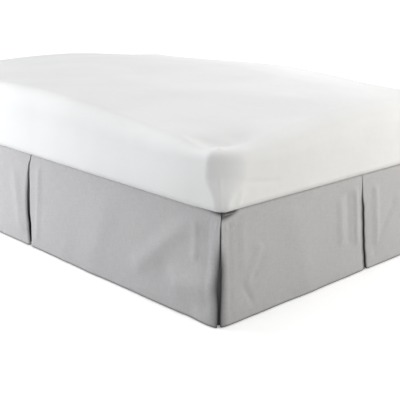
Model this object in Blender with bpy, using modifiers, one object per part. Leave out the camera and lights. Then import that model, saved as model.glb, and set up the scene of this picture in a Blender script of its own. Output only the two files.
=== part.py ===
"""Tailored bed skirt on a plain bed: drops with inverted pleats, corner inserts, deck and bed."""

import math
from collections import namedtuple

import bmesh
import bpy
from mathutils import Vector

# Bed size, metres. The origin is on the floor under the bed's centre, the head is at +Y
WALL_X = 0.764
WALL_Y = 1.018
TOP_Z = 0.370
HEM_Z = 0.003
HEAD_Y = 1.012

# Cloth and the clearance between pieces
CLOTH = 0.0015
GAP = 0.0003
SEAM_GAP = 0.0008

# Profile of a drop: a flat seam strip, a roll over the bed's edge, then the fall to the hem
SEAM_STRIP = 0.003
ROLL = 0.012
FLARE = 0.015
FLARE_POWER = 1.15

# Layers of a fold lie this far apart at the seam and at the hem
LAYER_SEAM = 0.0022
LAYER_HEM = 0.0055
FOLD_STEPS = 3
PLEAT_DEPTH = 0.090
RETURN_STEPS = 4
INSERT_SEAM_BACK = 0.0007
INSERT_HANG_BACK = 0.0035

# Behind a side pleat the underlay bows in, most of all below the foundation
SIDE_UNDERLAY_BOW = 0.006
SIDE_UNDERLAY_HOLLOW = 0.020
HOLLOW_FROM = 0.62
HOLLOW_TO = 0.84

# Inserts turn the corner round a vertical line this far inside both walls
INSERT_PIVOT = 0.028
INSERT_STEPS = 5
INSERT_LEG = 0.076

# The drops sag off the bed's edge next to the foot corners, the foot drop most
FOOT_SAG = 0.024
SIDE_SAG = 0.008
SAG_REACH = 0.110

# Creases fade in below the roll over this share of the fall
CREASE_FADE = 0.16

# Columns of cloth between two folds: beside the pleat of each drop
LEFT_COLUMNS = 22
RIGHT_COLUMNS = 15
FOOT_COLUMNS = 20

# Foundation, legs and mattress
FOUNDATION_INSET = 0.012
FOUNDATION_HEIGHT = 0.2286
FOUNDATION_CORNER = 0.045
FOUNDATION_CORNER_STEPS = 5
FOUNDATION_EDGE = 0.020
FOUNDATION_EDGE_STEPS = 3
LEG_TOP_RADIUS = 0.030
LEG_FOOT_RADIUS = 0.022
LEG_X = 0.680
LEG_Y = 0.930
LEG_SIDES = 16
MATTRESS_OVERHANG = 0.012
MATTRESS_HEIGHT = 0.254
MATTRESS_DOME = 0.262
MATTRESS_CROWN = 0.012
MATTRESS_CROWN_REACH = 0.48
MATTRESS_SLUMP = 0.060
MATTRESS_HEAD_SLUMP = 0.024
MATTRESS_TOP_EDGE = 0.070
MATTRESS_CORNER_EDGE = 0.034
MATTRESS_FOOT_EDGE = 0.026

# Corners of the mattress are tight at its foot and grow into flattened ovals at GROWN_LEVEL
MATTRESS_CORNER_X = 0.105
MATTRESS_CORNER_Y = 0.074
MATTRESS_LOW_CORNER = 0.036
MATTRESS_CORNER_POWER = 1.6
CORNER_EDGE_POWER = 6
GROWN_LEVEL = 0.3

# The mattress falls toward the head from HEAD_FALL_FROM, and toward the right from RIGHT_FALL_FROM.
# The right fall fades out toward the foot between FADE_FROM and FADE_TO
HEAD_FALL = 0.014
HEAD_FALL_FROM = 0.15
HEAD_SLUMP_FROM = -0.30
HEAD_SLUMP_TO = 0.80
RIGHT_FALL = 0.022
RIGHT_FALL_FROM = 0.10
FADE_FROM = -0.95
FADE_TO = -0.40
MATTRESS_CUTS = 13
MATTRESS_SPREAD = 2.3

# One row of the profile: length before the roll, angle round the roll, share of the fall
Row = namedtuple("Row", "before angle fall")
ROWS = (
    Row(SEAM_STRIP, 0, 0.0),
    Row(0.0, 0, 0.0),
    Row(0.0, 30, 0.0),
    Row(0.0, 60, 0.0),
    Row(0.0, 90, 0.0),
    Row(0.0, 90, 0.14),
    Row(0.0, 90, 0.31),
    Row(0.0, 90, 0.49),
    Row(0.0, 90, 0.67),
    Row(0.0, 90, 0.84),
    Row(0.0, 90, 1.0),
)

# Slit of a pleat or corner at a share of the fall: how far it wanders and how far it opens.
# A corner wanders toward the foot side
Slit = namedtuple("Slit", "fall wander half_gap")
SIDE_SLIT = (
    Slit(0.0, 0.002, 0.0030),
    Slit(0.10, 0.0145, 0.0058),
    Slit(0.22, 0.021, 0.0085),
    Slit(0.45, 0.0250, 0.0110),
    Slit(0.60, 0.023, 0.0115),
    Slit(0.80, 0.0125, 0.0110),
    Slit(1.0, 0.005, 0.0080),
)
FOOT_SLIT = (
    Slit(0, -0.033, 0.002),
    Slit(0.14, -0.029, 0.005),
    Slit(0.35, -0.0114, 0.004),
    Slit(0.54, -0.0055, 0.0045),
    Slit(0.72, 0.0013, 0.0052),
    Slit(0.9, 0.0109, 0.0052),
    Slit(1, 0.0168, 0.0045),
)
CORNER_SLIT = (
    Slit(0, 0, 0.0035),
    Slit(0.12, 0, 0.006),
    Slit(0.3, 0.0015, 0.0115),
    Slit(0.46, 0.003, 0.0145),
    Slit(0.75, 0.003, 0.0165),
    Slit(1, 0.003, 0.0165),
)

# Crease of a drop: from one point to another as distance from its corner and height
Crease = namedtuple("Crease", "along height to_along to_height half_width depth")
LEFT_CREASES = (
    Crease(0.020, 0.140, 0.170, 0.105, 0.045, 0.0070),
    Crease(0.120, 0.335, 0.368, 0.115, 0.034, 0.0072),
    Crease(0.105, 0.320, 0.103, 0.215, 0.016, 0.0040),
    Crease(0.052, 0.350, 0.046, 0.060, 0.017, -0.0026),
    Crease(0.240, 0.120, 0.120, 0.030, 0.040, -0.0056),
    Crease(0.560, 0.250, 0.640, 0.040, 0.060, 0.0048),
    Crease(0.900, 0.120, 0.800, 0.060, 0.050, 0.0056),
    Crease(0.966, 0.320, 0.972, 0.060, 0.016, 0.0038),
    Crease(1.130, 0.260, 1.090, 0.070, 0.028, 0.0048),
    Crease(1.420, 0.240, 1.500, 0.030, 0.070, 0.0056),
    Crease(1.780, 0.280, 1.740, 0.040, 0.060, -0.0048),
)
FOOT_CREASES = (
    Crease(0.036, 0.340, 0.046, 0.020, 0.013, -0.0026),
    Crease(0.092, 0.325, 0.100, 0.185, 0.018, 0.0032),
    Crease(0.173, 0.225, 0.112, 0.120, 0.016, 0.0045),
    Crease(0.192, 0.180, 0.150, 0.138, 0.014, -0.0043),
    Crease(0.104, 0.115, 0.140, 0.055, 0.013, -0.0039),
    Crease(0.350, 0.300, 0.420, 0.060, 0.060, 0.0054),
    Crease(0.602, 0.290, 0.617, 0.150, 0.018, 0.0054),
    Crease(0.646, 0.315, 0.664, 0.140, 0.015, -0.0040),
    Crease(0.690, 0.325, 0.712, 0.130, 0.014, 0.0062),
    Crease(0.815, 0.305, 0.840, 0.100, 0.019, 0.0074),
    Crease(0.940, 0.225, 0.830, 0.064, 0.019, -0.0054),
    Crease(1.180, 0.280, 1.240, 0.050, 0.060, 0.0047),
    Crease(1.420, 0.320, 1.440, 0.060, 0.022, -0.0043),
)
RIGHT_CREASES = (
    Crease(0.090, 0.320, 0.100, 0.080, 0.022, 0.0045),
    Crease(0.300, 0.270, 0.220, 0.050, 0.050, -0.0045),
    Crease(0.620, 0.260, 0.700, 0.040, 0.060, 0.0053),
    Crease(0.950, 0.310, 0.965, 0.080, 0.018, 0.0042),
    Crease(1.120, 0.290, 1.080, 0.080, 0.026, 0.0045),
    Crease(1.560, 0.260, 1.480, 0.040, 0.070, 0.0053),
)

# Finishes: colour, roughness, metallic
Finish = namedtuple("Finish", "colour roughness metallic")
GREY_CLOTH = Finish((0.47, 0.47, 0.46), 0.90, 0.0)
WHITE_SHEETING = Finish((0.86, 0.86, 0.85), 0.85, 0.0)
CREAM_TICKING = Finish((0.72, 0.69, 0.62), 0.90, 0.0)
BLACK_PLASTIC = Finish((0.03, 0.03, 0.03), 0.50, 0.0)


def clear_scene():
    for item in list(bpy.data.objects):
        bpy.data.objects.remove(item, do_unlink=True)


def new_collection(name):
    collection = bpy.data.collections.new(name)
    bpy.context.scene.collection.children.link(collection)
    return collection


def new_material(name, finish):
    material = bpy.data.materials.new(name)
    material.use_nodes = True
    shader = material.node_tree.nodes["Principled BSDF"]
    shader.inputs["Base Color"].default_value = (*finish.colour, 1.0)
    shader.inputs["Roughness"].default_value = finish.roughness
    shader.inputs["Metallic"].default_value = finish.metallic
    return material


def new_object(name, mesh, collection, finish):
    """Turn a bmesh into a named object with a material of its own."""
    data = bpy.data.meshes.new(name)
    mesh.to_mesh(data)
    mesh.free()
    data.materials.append(new_material(name + "_finish", finish))
    item = bpy.data.objects.new(name, data)
    collection.objects.link(item)
    return item


def smoothstep(low, high, value):
    share = min(max((value - low) / (high - low), 0.0), 1.0)
    return share * share * (3.0 - 2.0 * share)


def slit_at(slit, fall):
    """Wander and half gap of a slit at a share of the fall, smoothed between its rows."""
    for upper, lower in zip(slit, slit[1:]):
        if fall <= lower.fall:
            share = smoothstep(upper.fall, lower.fall, fall)
            wander = upper.wander + (lower.wander - upper.wander) * share
            return wander, upper.half_gap + (lower.half_gap - upper.half_gap) * share
    return slit[-1].wander, slit[-1].half_gap


def layer_spacing(row):
    return LAYER_SEAM + (LAYER_HEM - LAYER_SEAM) * row.fall


def crease_relief(creases, along, height, fall):
    """Distance that the creases push the cloth out of the wall at one point."""
    relief = 0.0
    for crease in creases:
        run = Vector((crease.to_along - crease.along, crease.to_height - crease.height))
        offset = Vector((along - crease.along, height - crease.height))
        share = min(max(offset.dot(run) / run.length_squared, 0.0), 1.0)
        distance = (offset - run * share).length / crease.half_width
        relief += crease.depth * math.exp(-distance * distance)
    return relief * smoothstep(0.0, CREASE_FADE, fall)


def skin(row, sag=0.0):
    """Outward distance, height and normal of the cloth's outer layer at one row."""
    angle = math.radians(row.angle)
    roll_height = ROLL + sag
    outward = ROLL * (math.sin(angle) - 1.0) - row.before
    height = TOP_Z - roll_height * (1.0 - math.cos(angle))
    outward += FLARE * row.fall ** FLARE_POWER
    height -= (TOP_Z - roll_height - HEM_Z) * row.fall
    normal = Vector((math.sin(angle) / ROLL, math.cos(angle) / roll_height)).normalized()
    return outward, height, normal


def corner_sag(deepest, distance):
    return deepest * (1.0 - smoothstep(0.0, SAG_REACH, distance))


def fold_round(edge, way, depth, spacing):
    """Stations round a fold whose outermost point is at edge, from depth to depth + spacing."""
    radius = spacing / 2.0
    stations = []
    for step in range(FOLD_STEPS + 1):
        angle = math.pi * (step / FOLD_STEPS - 0.5)
        along = edge - way * radius * (1.0 - math.cos(angle))
        stations.append((along, depth + radius + radius * math.sin(angle)))
    return stations


def panel(start, end, columns):
    """Stations of a flat panel between two folds, closer together near its ends."""
    shares = [0.5 - 0.5 * math.cos(math.pi * step / columns) for step in range(1, columns)]
    return [(start + (end - start) * share, 0.0) for share in shares]


def straight(start, end, start_depth, end_depth):
    """Stations between two points of a layer, both points left out."""
    shares = [step / RETURN_STEPS for step in range(1, RETURN_STEPS)]
    return [
        (start + (end - start) * share, start_depth + (end_depth - start_depth) * share)
        for share in shares
    ]


def side_bow(fall):
    """How far the underlay of a side pleat bows in at a share of the fall."""
    return SIDE_UNDERLAY_BOW * fall + SIDE_UNDERLAY_HOLLOW * smoothstep(HOLLOW_FROM, HOLLOW_TO, fall)


def inverted_pleat(centre, half_gap, row, bow=0.0):
    """Stations through an inverted box pleat: two fold-backs and the underlay behind them."""
    spacing = layer_spacing(row)
    under = 2.0 * spacing
    deepest = under + bow
    slit_edge = centre - half_gap
    back_edge = centre - PLEAT_DEPTH
    half = fold_round(slit_edge, 1.0, 0.0, spacing)
    half += straight(slit_edge, back_edge, spacing, spacing)
    half += fold_round(back_edge, -1.0, spacing, spacing)
    half += straight(back_edge, centre - half_gap, under, deepest)
    mirrored = [(2.0 * centre - along, depth) for along, depth in reversed(half)]
    return half + [(centre, deepest)] + mirrored


def corner_return(end, way, row):
    """Stations of a panel's end: round the fold at the corner and back behind the panel."""
    spacing = layer_spacing(row)
    back_edge = end - way * PLEAT_DEPTH
    stations = fold_round(end, way, 0.0, spacing)
    stations += straight(end, back_edge, spacing, spacing)
    stations.append((back_edge, spacing))
    return stations


def side_line(row, columns):
    """Stations of a side drop at one row, from its foot corner to its head end."""
    outward = skin(row)[0]
    corner_wander, corner_gap = slit_at(CORNER_SLIT, row.fall)
    wander, half_gap = slit_at(SIDE_SLIT, row.fall)
    start = corner_gap - corner_wander - outward
    centre = WALL_Y + wander
    head = WALL_Y + HEAD_Y
    line = corner_return(start, -1.0, row)[::-1]
    line += panel(start, centre - half_gap, columns)
    line += inverted_pleat(centre, half_gap, row, side_bow(row.fall))
    line += panel(centre + half_gap, head, columns)
    line.append((head, 0.0))
    return line


def foot_line(row, columns):
    """Stations of the foot drop at one row, from its left corner to its right corner."""
    outward = skin(row)[0]
    corner_wander, corner_gap = slit_at(CORNER_SLIT, row.fall)
    wander, half_gap = slit_at(FOOT_SLIT, row.fall)
    start = corner_gap + corner_wander - outward
    end = 2.0 * WALL_X - start
    centre = WALL_X + wander
    line = corner_return(start, -1.0, row)[::-1]
    line += panel(start, centre - half_gap, columns)
    line += inverted_pleat(centre, half_gap, row)
    line += panel(centre + half_gap, end, columns)
    line += corner_return(end, 1.0, row)
    return line


def sheet_object(name, grid, collection, finish):
    """Sheet of cloth through a grid of points, given its thickness by Solidify."""
    columns = len(grid[0]) - 1
    rows = len(grid) - 1
    mesh = bmesh.new()
    bmesh.ops.create_grid(mesh, x_segments=columns, y_segments=rows, size=0.5)
    # The grid runs from -0.5 to 0.5 both ways, so a vertex's place gives its column and row
    for vertex in mesh.verts:
        column = round((vertex.co.x + 0.5) * columns)
        row = round((vertex.co.y + 0.5) * rows)
        vertex.co = grid[row][column]
    item = new_object(name, mesh, collection, finish)
    thickness = item.modifiers.new("Thickness", "SOLIDIFY")
    thickness.thickness = CLOTH
    thickness.offset = 0.0
    thickness.use_even_offset = True
    return item


def drop_grid(line, place, creases, columns, deepest_sag, far_corner=math.inf):
    """Points of a drop, from its stations at each row of the profile."""
    grid = []
    for row in ROWS:
        points = []
        for along, depth in line(row, columns):
            sag = corner_sag(deepest_sag, min(along, far_corner - along))
            outward, height, normal = skin(row, sag)
            relief = crease_relief(creases, along, height, row.fall) - depth
            points.append(place(along, outward + relief * normal.x, height + relief * normal.y))
        grid.append(points)
    return grid


def left_wall(along, outward, height):
    return Vector((-WALL_X - outward, along - WALL_Y, height))


def right_wall(along, outward, height):
    return Vector((WALL_X + outward, along - WALL_Y, height))


def foot_wall(along, outward, height):
    return Vector((along - WALL_X, -WALL_Y - outward, height))


def insert_grid(side):
    """Points of a corner insert, which turns the corner behind both drops."""
    pivot = Vector((WALL_X - INSERT_PIVOT, -WALL_Y + INSERT_PIVOT))
    grid = []
    for row in ROWS:
        hang = smoothstep(0.0, CREASE_FADE, row.fall)
        depth = 2.0 * layer_spacing(row) + INSERT_SEAM_BACK + INSERT_HANG_BACK * hang
        outward, height, normal = skin(row, FOOT_SAG)
        radius = INSERT_PIVOT + outward - depth * normal.x
        level = height - depth * normal.y
        plan = [pivot + Vector((radius, INSERT_LEG)), pivot + Vector((radius, INSERT_LEG / 2.0))]
        for step in range(INSERT_STEPS + 1):
            angle = math.pi / 2.0 * step / INSERT_STEPS
            plan.append(pivot + radius * Vector((math.cos(angle), -math.sin(angle))))
        plan.append(pivot + Vector((-INSERT_LEG / 2.0, -radius)))
        plan.append(pivot + Vector((-INSERT_LEG, -radius)))
        grid.append([Vector((side * point.x, point.y, level)) for point in plan])
    return grid


def build_deck(collection):
    """Platform sheet on the foundation, up to the seam strips of the drops."""
    half_x = WALL_X - ROLL - SEAM_STRIP - SEAM_GAP
    foot_y = -WALL_Y + ROLL + SEAM_STRIP + SEAM_GAP
    grid = [[Vector((x, y, TOP_Z)) for x in (-half_x, half_x)] for y in (foot_y, HEAD_Y)]
    return sheet_object("deck", grid, collection, GREY_CLOTH)


def build_skirt(collection):
    build_deck(collection)
    left = drop_grid(side_line, left_wall, LEFT_CREASES, LEFT_COLUMNS, SIDE_SAG)
    sheet_object("side_drop_left", left, collection, GREY_CLOTH)
    right = drop_grid(side_line, right_wall, RIGHT_CREASES, RIGHT_COLUMNS, SIDE_SAG)
    sheet_object("side_drop_right", right, collection, GREY_CLOTH)
    foot = drop_grid(foot_line, foot_wall, FOOT_CREASES, FOOT_COLUMNS, FOOT_SAG, 2.0 * WALL_X)
    sheet_object("foot_drop", foot, collection, GREY_CLOTH)
    sheet_object("corner_insert_left", insert_grid(-1.0), collection, GREY_CLOTH)
    sheet_object("corner_insert_right", insert_grid(1.0), collection, GREY_CLOTH)


def foundation_levels():
    """Heights of the foundation's underside and top."""
    top = TOP_Z - CLOTH / 2.0 - GAP
    return top - FOUNDATION_HEIGHT, top


def build_foundation(collection):
    bottom, top = foundation_levels()
    size = Vector((WALL_X - FOUNDATION_INSET, WALL_Y - FOUNDATION_INSET, (top - bottom) / 2.0))
    mesh = bmesh.new()
    bmesh.ops.create_cube(mesh, size=2.0)
    bmesh.ops.scale(mesh, vec=size, verts=mesh.verts)
    bmesh.ops.translate(mesh, vec=(0.0, 0.0, (top + bottom) / 2.0), verts=mesh.verts)
    bmesh.ops.bevel(
        mesh,
        geom=[edge for edge in mesh.edges if edge.verts[0].co.z != edge.verts[1].co.z],
        offset=FOUNDATION_CORNER,
        segments=FOUNDATION_CORNER_STEPS,
        profile=0.5,
        affect="EDGES",
    )
    item = new_object("foundation", mesh, collection, CREAM_TICKING)
    edge = item.modifiers.new("Rounded edges", "BEVEL")
    edge.width = FOUNDATION_EDGE
    edge.segments = FOUNDATION_EDGE_STEPS
    return item


def build_legs(collection):
    """Four corner legs and three on the centre line, each flat on the floor."""
    bottom = foundation_levels()[0]
    height = bottom - GAP
    corners = [(x, y) for y in (-LEG_Y, LEG_Y) for x in (-LEG_X, LEG_X)]
    middle = [(0.0, y) for y in (-LEG_Y, 0.0, LEG_Y)]
    for number, (x, y) in enumerate(corners + middle, start=1):
        mesh = bmesh.new()
        bmesh.ops.create_cone(
            mesh,
            cap_ends=True,
            segments=LEG_SIDES,
            radius1=LEG_FOOT_RADIUS,
            radius2=LEG_TOP_RADIUS,
            depth=height,
        )
        item = new_object(f"leg_{number}", mesh, collection, BLACK_PLASTIC)
        item.location = (x, y, height / 2.0)


def grown_corner(full, level):
    """Half size of a corner at a height from -1 to 1."""
    return MATTRESS_LOW_CORNER + (full - MATTRESS_LOW_CORNER) * smoothstep(-1.0, GROWN_LEVEL, level)


def plan_point(share_x, share_y, level, half_x, half_y):
    """Point of the mattress's plan, with round corners, and its distance from the outline."""
    x = abs(share_x) * half_x
    y = abs(share_y) * half_y
    corner_x = grown_corner(MATTRESS_CORNER_X, level)
    corner_y = grown_corner(MATTRESS_CORNER_Y, level)
    inner_x = half_x - corner_x
    inner_y = half_y - corner_y
    inside = min(half_x - x, half_y - y)
    if x > inner_x and y > inner_y:
        a = (x - inner_x) / corner_x
        b = (y - inner_y) / corner_y
        arm = Vector((a * math.sqrt(1.0 - b * b / 2.0), b * math.sqrt(1.0 - a * a / 2.0)))
        power = MATTRESS_CORNER_POWER
        flat = arm.length / (arm.x ** power + arm.y ** power) ** (1.0 / power)
        x = inner_x + corner_x * arm.x * flat
        y = inner_y + corner_y * arm.y * flat
        size = (corner_x * arm.x ** 2 + corner_y * arm.y ** 2) / arm.length_squared
        inside = (1.0 - arm.length) * flat * size
    return math.copysign(x, share_x), math.copysign(y, share_y), max(inside, 0.0)


def edge_drop(radius, inside):
    """How far a rounded edge has dropped at a distance inside the outline."""
    short = max(radius - inside, 0.0)
    return radius - math.sqrt(radius * radius - short * short)


def mattress_point(cube_point):
    """Where a point of a cube from -1 to 1 lies on the mattress."""
    floor = TOP_Z + CLOTH / 2.0 + GAP
    spread = [math.copysign(1.0 - (1.0 - abs(share)) ** MATTRESS_SPREAD, share) for share in cube_point]
    half_x = WALL_X + MATTRESS_OVERHANG
    half_y = WALL_Y + MATTRESS_OVERHANG
    x, y, inside = plan_point(spread[0], spread[1], cube_point.z, half_x, half_y)
    dome = MATTRESS_DOME - MATTRESS_CROWN * (1.0 - smoothstep(0.0, MATTRESS_CROWN_REACH, inside))
    slump_x = 1.0 - smoothstep(0.0, half_x, half_x - abs(x))
    slump_y = 1.0 - smoothstep(0.0, half_y, half_y - abs(y))
    at_head = smoothstep(HEAD_SLUMP_FROM, HEAD_SLUMP_TO, y)
    dome -= (MATTRESS_SLUMP + (MATTRESS_HEAD_SLUMP - MATTRESS_SLUMP) * at_head) * slump_x * slump_y
    dome -= HEAD_FALL * smoothstep(HEAD_FALL_FROM, half_y, y)
    dome -= RIGHT_FALL * smoothstep(RIGHT_FALL_FROM, half_x, x) * smoothstep(FADE_FROM, FADE_TO, y)
    sharpness = (slump_x * slump_y) ** CORNER_EDGE_POWER
    radius = MATTRESS_TOP_EDGE + (MATTRESS_CORNER_EDGE - MATTRESS_TOP_EDGE) * sharpness
    top = min(dome, MATTRESS_HEIGHT) - edge_drop(radius, inside)
    bottom = edge_drop(MATTRESS_FOOT_EDGE, inside)
    share = 0.5 + 0.5 * cube_point.z
    return Vector((x, y, floor + bottom + (top - bottom) * share))


def build_mattress(collection):
    """One filled solid: flat below, crowned above, with soft edges and round corners."""
    mesh = bmesh.new()
    bmesh.ops.create_cube(mesh, size=2.0)
    bmesh.ops.subdivide_edges(mesh, edges=mesh.edges[:], cuts=MATTRESS_CUTS, use_grid_fill=True)
    for vertex in mesh.verts:
        vertex.co = mattress_point(vertex.co)
    item = new_object("mattress", mesh, collection, WHITE_SHEETING)
    item.data.shade_smooth()
    return item


def main():
    clear_scene()
    collection = new_collection("bed_skirt")
    build_skirt(collection)
    build_foundation(collection)
    build_legs(collection)
    build_mattress(collection)


main()
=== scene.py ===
"""A grey tailored bed skirt on its bed: cloth, bedding, legs, floor, studio light and camera."""

import logging
import math
from dataclasses import dataclass
from enum import Enum

import bmesh
import bpy
import numpy as np
from mathutils import Matrix, Vector


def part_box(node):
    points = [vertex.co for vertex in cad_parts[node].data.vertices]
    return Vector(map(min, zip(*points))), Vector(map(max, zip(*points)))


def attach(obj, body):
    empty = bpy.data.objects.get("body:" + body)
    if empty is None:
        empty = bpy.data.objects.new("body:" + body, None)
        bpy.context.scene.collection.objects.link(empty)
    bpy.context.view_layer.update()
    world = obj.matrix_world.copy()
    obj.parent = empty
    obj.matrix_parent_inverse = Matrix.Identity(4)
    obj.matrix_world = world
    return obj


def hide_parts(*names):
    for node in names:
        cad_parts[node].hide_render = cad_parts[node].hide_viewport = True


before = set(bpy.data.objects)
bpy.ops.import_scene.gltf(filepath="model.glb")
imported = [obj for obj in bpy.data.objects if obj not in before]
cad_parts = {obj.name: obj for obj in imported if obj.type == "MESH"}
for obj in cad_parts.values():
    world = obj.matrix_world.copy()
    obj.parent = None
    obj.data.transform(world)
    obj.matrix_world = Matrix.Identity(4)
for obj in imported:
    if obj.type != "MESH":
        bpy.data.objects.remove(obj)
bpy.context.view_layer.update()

BODY = "root"
FULL_TURN = 2.0 * math.pi
RIGHT_ANGLE = 90.0
TINY = 1e-6
MERGE_DISTANCE = 1e-5
FACES_DOWN = -0.98
# Name of the attribute that carries painted shade for the skirt's folds, curls and corners
PAINTED_FOLD_SHADE = "Painted Fold Shade"
UP = Vector((0.0, 0.0, 1.0))

log = logging.getLogger("bed_skirt")

Socket = bpy.types.NodeSocket
Grid = np.ndarray
Station = tuple[float, float]
Point = tuple[float, float, float]
Colour = tuple[float, float, float]
Range = tuple[float, float]


class Slot(Enum):
    """Material slots of the record."""

    SKIRT = "skirt_cloth"
    SHEETING = "sheeting"
    TICKING = "ticking"
    LEG = "leg_plastic"


class Held(Enum):
    """Ways in which a sheet of cloth is held."""

    HUNG = "hung"
    LAID = "laid"


class Wall(Enum):
    """Sides of the bed that a drop hangs on."""

    LEFT = "left"
    RIGHT = "right"
    FOOT = "foot"


# Shape of the bed and of its skirt


@dataclass(frozen=True)
class BedSize:
    """Walls and heights of the bed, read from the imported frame, and sizes of its cloth, metres."""

    wall_x: float
    wall_y: float
    top: float
    head: float
    hem: float = 0.003
    cloth: float = 0.0015
    gap: float = 0.0003
    overhang: float = 0.012

    @classmethod
    def from_frame(cls) -> "BedSize":
        """Reads the walls from the mattress and the seam's height from the deck.

        Returns:
            The bed's size.
        """
        mattress_low, mattress_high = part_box("mattress")
        deck_low, deck_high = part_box("deck")
        return cls(
            wall_x=mattress_high[0] - cls.overhang,
            wall_y=mattress_high[1] - cls.overhang,
            top=(deck_low[2] + deck_high[2]) / 2.0,
            head=deck_high[1],
        )


@dataclass(frozen=True)
class ProfileRow:
    """One row of a drop's profile: length before the roll, angle round it, share of the fall."""

    before: float
    angle: float
    fall: float


@dataclass(frozen=True)
class DropProfile:
    """Profile of a drop from its seam, over the bed's edge and down to the hem."""

    bed: BedSize
    seam_strip: float = 0.003
    roll: float = 0.012
    roll_steps: int = 9
    fall_steps: int = 64
    flare: float = 0.015
    flare_power: float = 1.15
    layer_seam: float = 0.0022
    layer_hem: float = 0.0055

    def rows(self) -> list[ProfileRow]:
        """Rows from the seam to the hem.

        Returns:
            The rows, top first.
        """
        rows = [ProfileRow(self.seam_strip, 0.0, 0.0)]
        for step in range(self.roll_steps + 1):
            rows.append(ProfileRow(0.0, RIGHT_ANGLE * step / self.roll_steps, 0.0))
        for step in range(1, self.fall_steps + 1):
            rows.append(ProfileRow(0.0, RIGHT_ANGLE, step / self.fall_steps))
        return rows

    def layer(self, row: ProfileRow) -> float:
        """Distance between two layers of a fold at one row."""
        return self.layer_seam + (self.layer_hem - self.layer_seam) * row.fall

    def skin(self, row: ProfileRow, sag: Grid | float = 0.0) -> tuple[Grid, Grid, Grid, Grid]:
        """Outer layer of the cloth at one row.

        Args:
            row: Row of the profile.
            sag: How far the roll is let down, one value or one for each station.

        Returns:
            Distance out of the wall, height, and the normal's outward and upward parts.
        """
        angle = math.radians(row.angle)
        roll_height = self.roll + np.asarray(sag, dtype=float)
        level = np.zeros_like(roll_height)
        outward = self.roll * (math.sin(angle) - 1.0) - row.before
        outward += self.flare * row.fall**self.flare_power
        height = self.bed.top - roll_height * (1.0 - math.cos(angle))
        height = height - (self.bed.top - roll_height - self.bed.hem) * row.fall
        out_part = math.sin(angle) / self.roll + level
        up_part = math.cos(angle) / roll_height
        length = np.hypot(out_part, up_part)
        return outward + level, height, out_part / length, up_part / length


@dataclass(frozen=True)
class Slit:
    """Opening of a pleat or a corner: rows of share of the fall, wander and half gap."""

    rows: tuple[tuple[float, float, float], ...]

    def at(self, fall: float) -> tuple[float, float]:
        """Wander and half gap at a share of the fall.

        Args:
            fall: Share of the fall.

        Returns:
            The slit's sideways wander and half of its opening.
        """
        for upper, lower in zip(self.rows, self.rows[1:]):
            if fall <= lower[0]:
                share = smoothstep(upper[0], lower[0], fall)
                wander = upper[1] + (lower[1] - upper[1]) * share
                return wander, upper[2] + (lower[2] - upper[2]) * share
        return self.rows[-1][1], self.rows[-1][2]


@dataclass(frozen=True)
class Roll:
    """Edge of cloth that curls into the wall: how deep, and over what width."""

    depth: float
    width: float

    def curl(self, to_edge: Grid) -> Grid:
        """Distance into the wall.

        Args:
            to_edge: Distances from the edge, below 0 past it.

        Returns:
            Distance into the wall at each point.
        """
        share = np.clip(1.0 - np.maximum(to_edge, 0.0) / self.width, 0.0, 1.0)
        return self.depth * share**2


@dataclass(frozen=True)
class Crease:
    """Soft ridge or trough between two points: distance from the corner, and height."""

    along: float
    height: float
    to_along: float
    to_height: float
    half_width: float
    depth: float

    def relief(self, along: Grid, height: Grid) -> Grid:
        """Push of the crease out of the wall.

        Args:
            along: Distances from the corner.
            height: Heights of the same points.

        Returns:
            Distance out of the wall at each point.
        """
        run_along = self.to_along - self.along
        run_height = self.to_height - self.height
        square = run_along**2 + run_height**2
        share = ((along - self.along) * run_along + (height - self.height) * run_height) / square
        share = np.clip(share, 0.0, 1.0)
        off_along = along - self.along - run_along * share
        off_height = height - self.height - run_height * share
        return self.depth * np.exp(-(off_along**2 + off_height**2) / self.half_width**2)


# Slits of the pleats and the corners, as they wander and open on their way down
SIDE_SLIT = Slit((
    (0.0, 0.0020, 0.0030),
    (0.10, 0.0145, 0.0058),
    (0.22, 0.0210, 0.0085),
    (0.45, 0.0250, 0.0110),
    (0.60, 0.0230, 0.0115),
    (0.80, 0.0125, 0.0110),
    (1.0, 0.0050, 0.0080),
))
FOOT_SLIT = Slit((
    (0.0, -0.0330, 0.0020),
    (0.14, -0.0285, 0.0040),
    (0.35, -0.0100, 0.0026),
    (0.54, -0.0032, 0.0022),
    (0.72, 0.0038, 0.0026),
    (0.90, 0.0132, 0.0028),
    (1.0, 0.0185, 0.0028),
))
CORNER_SLIT = Slit((
    (0.0, 0.0, 0.0035),
    (0.12, 0.0, 0.0060),
    (0.30, 0.0015, 0.0115),
    (0.46, 0.0030, 0.0145),
    (0.75, 0.0030, 0.0165),
    (1.0, 0.0030, 0.0165),
))

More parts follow.
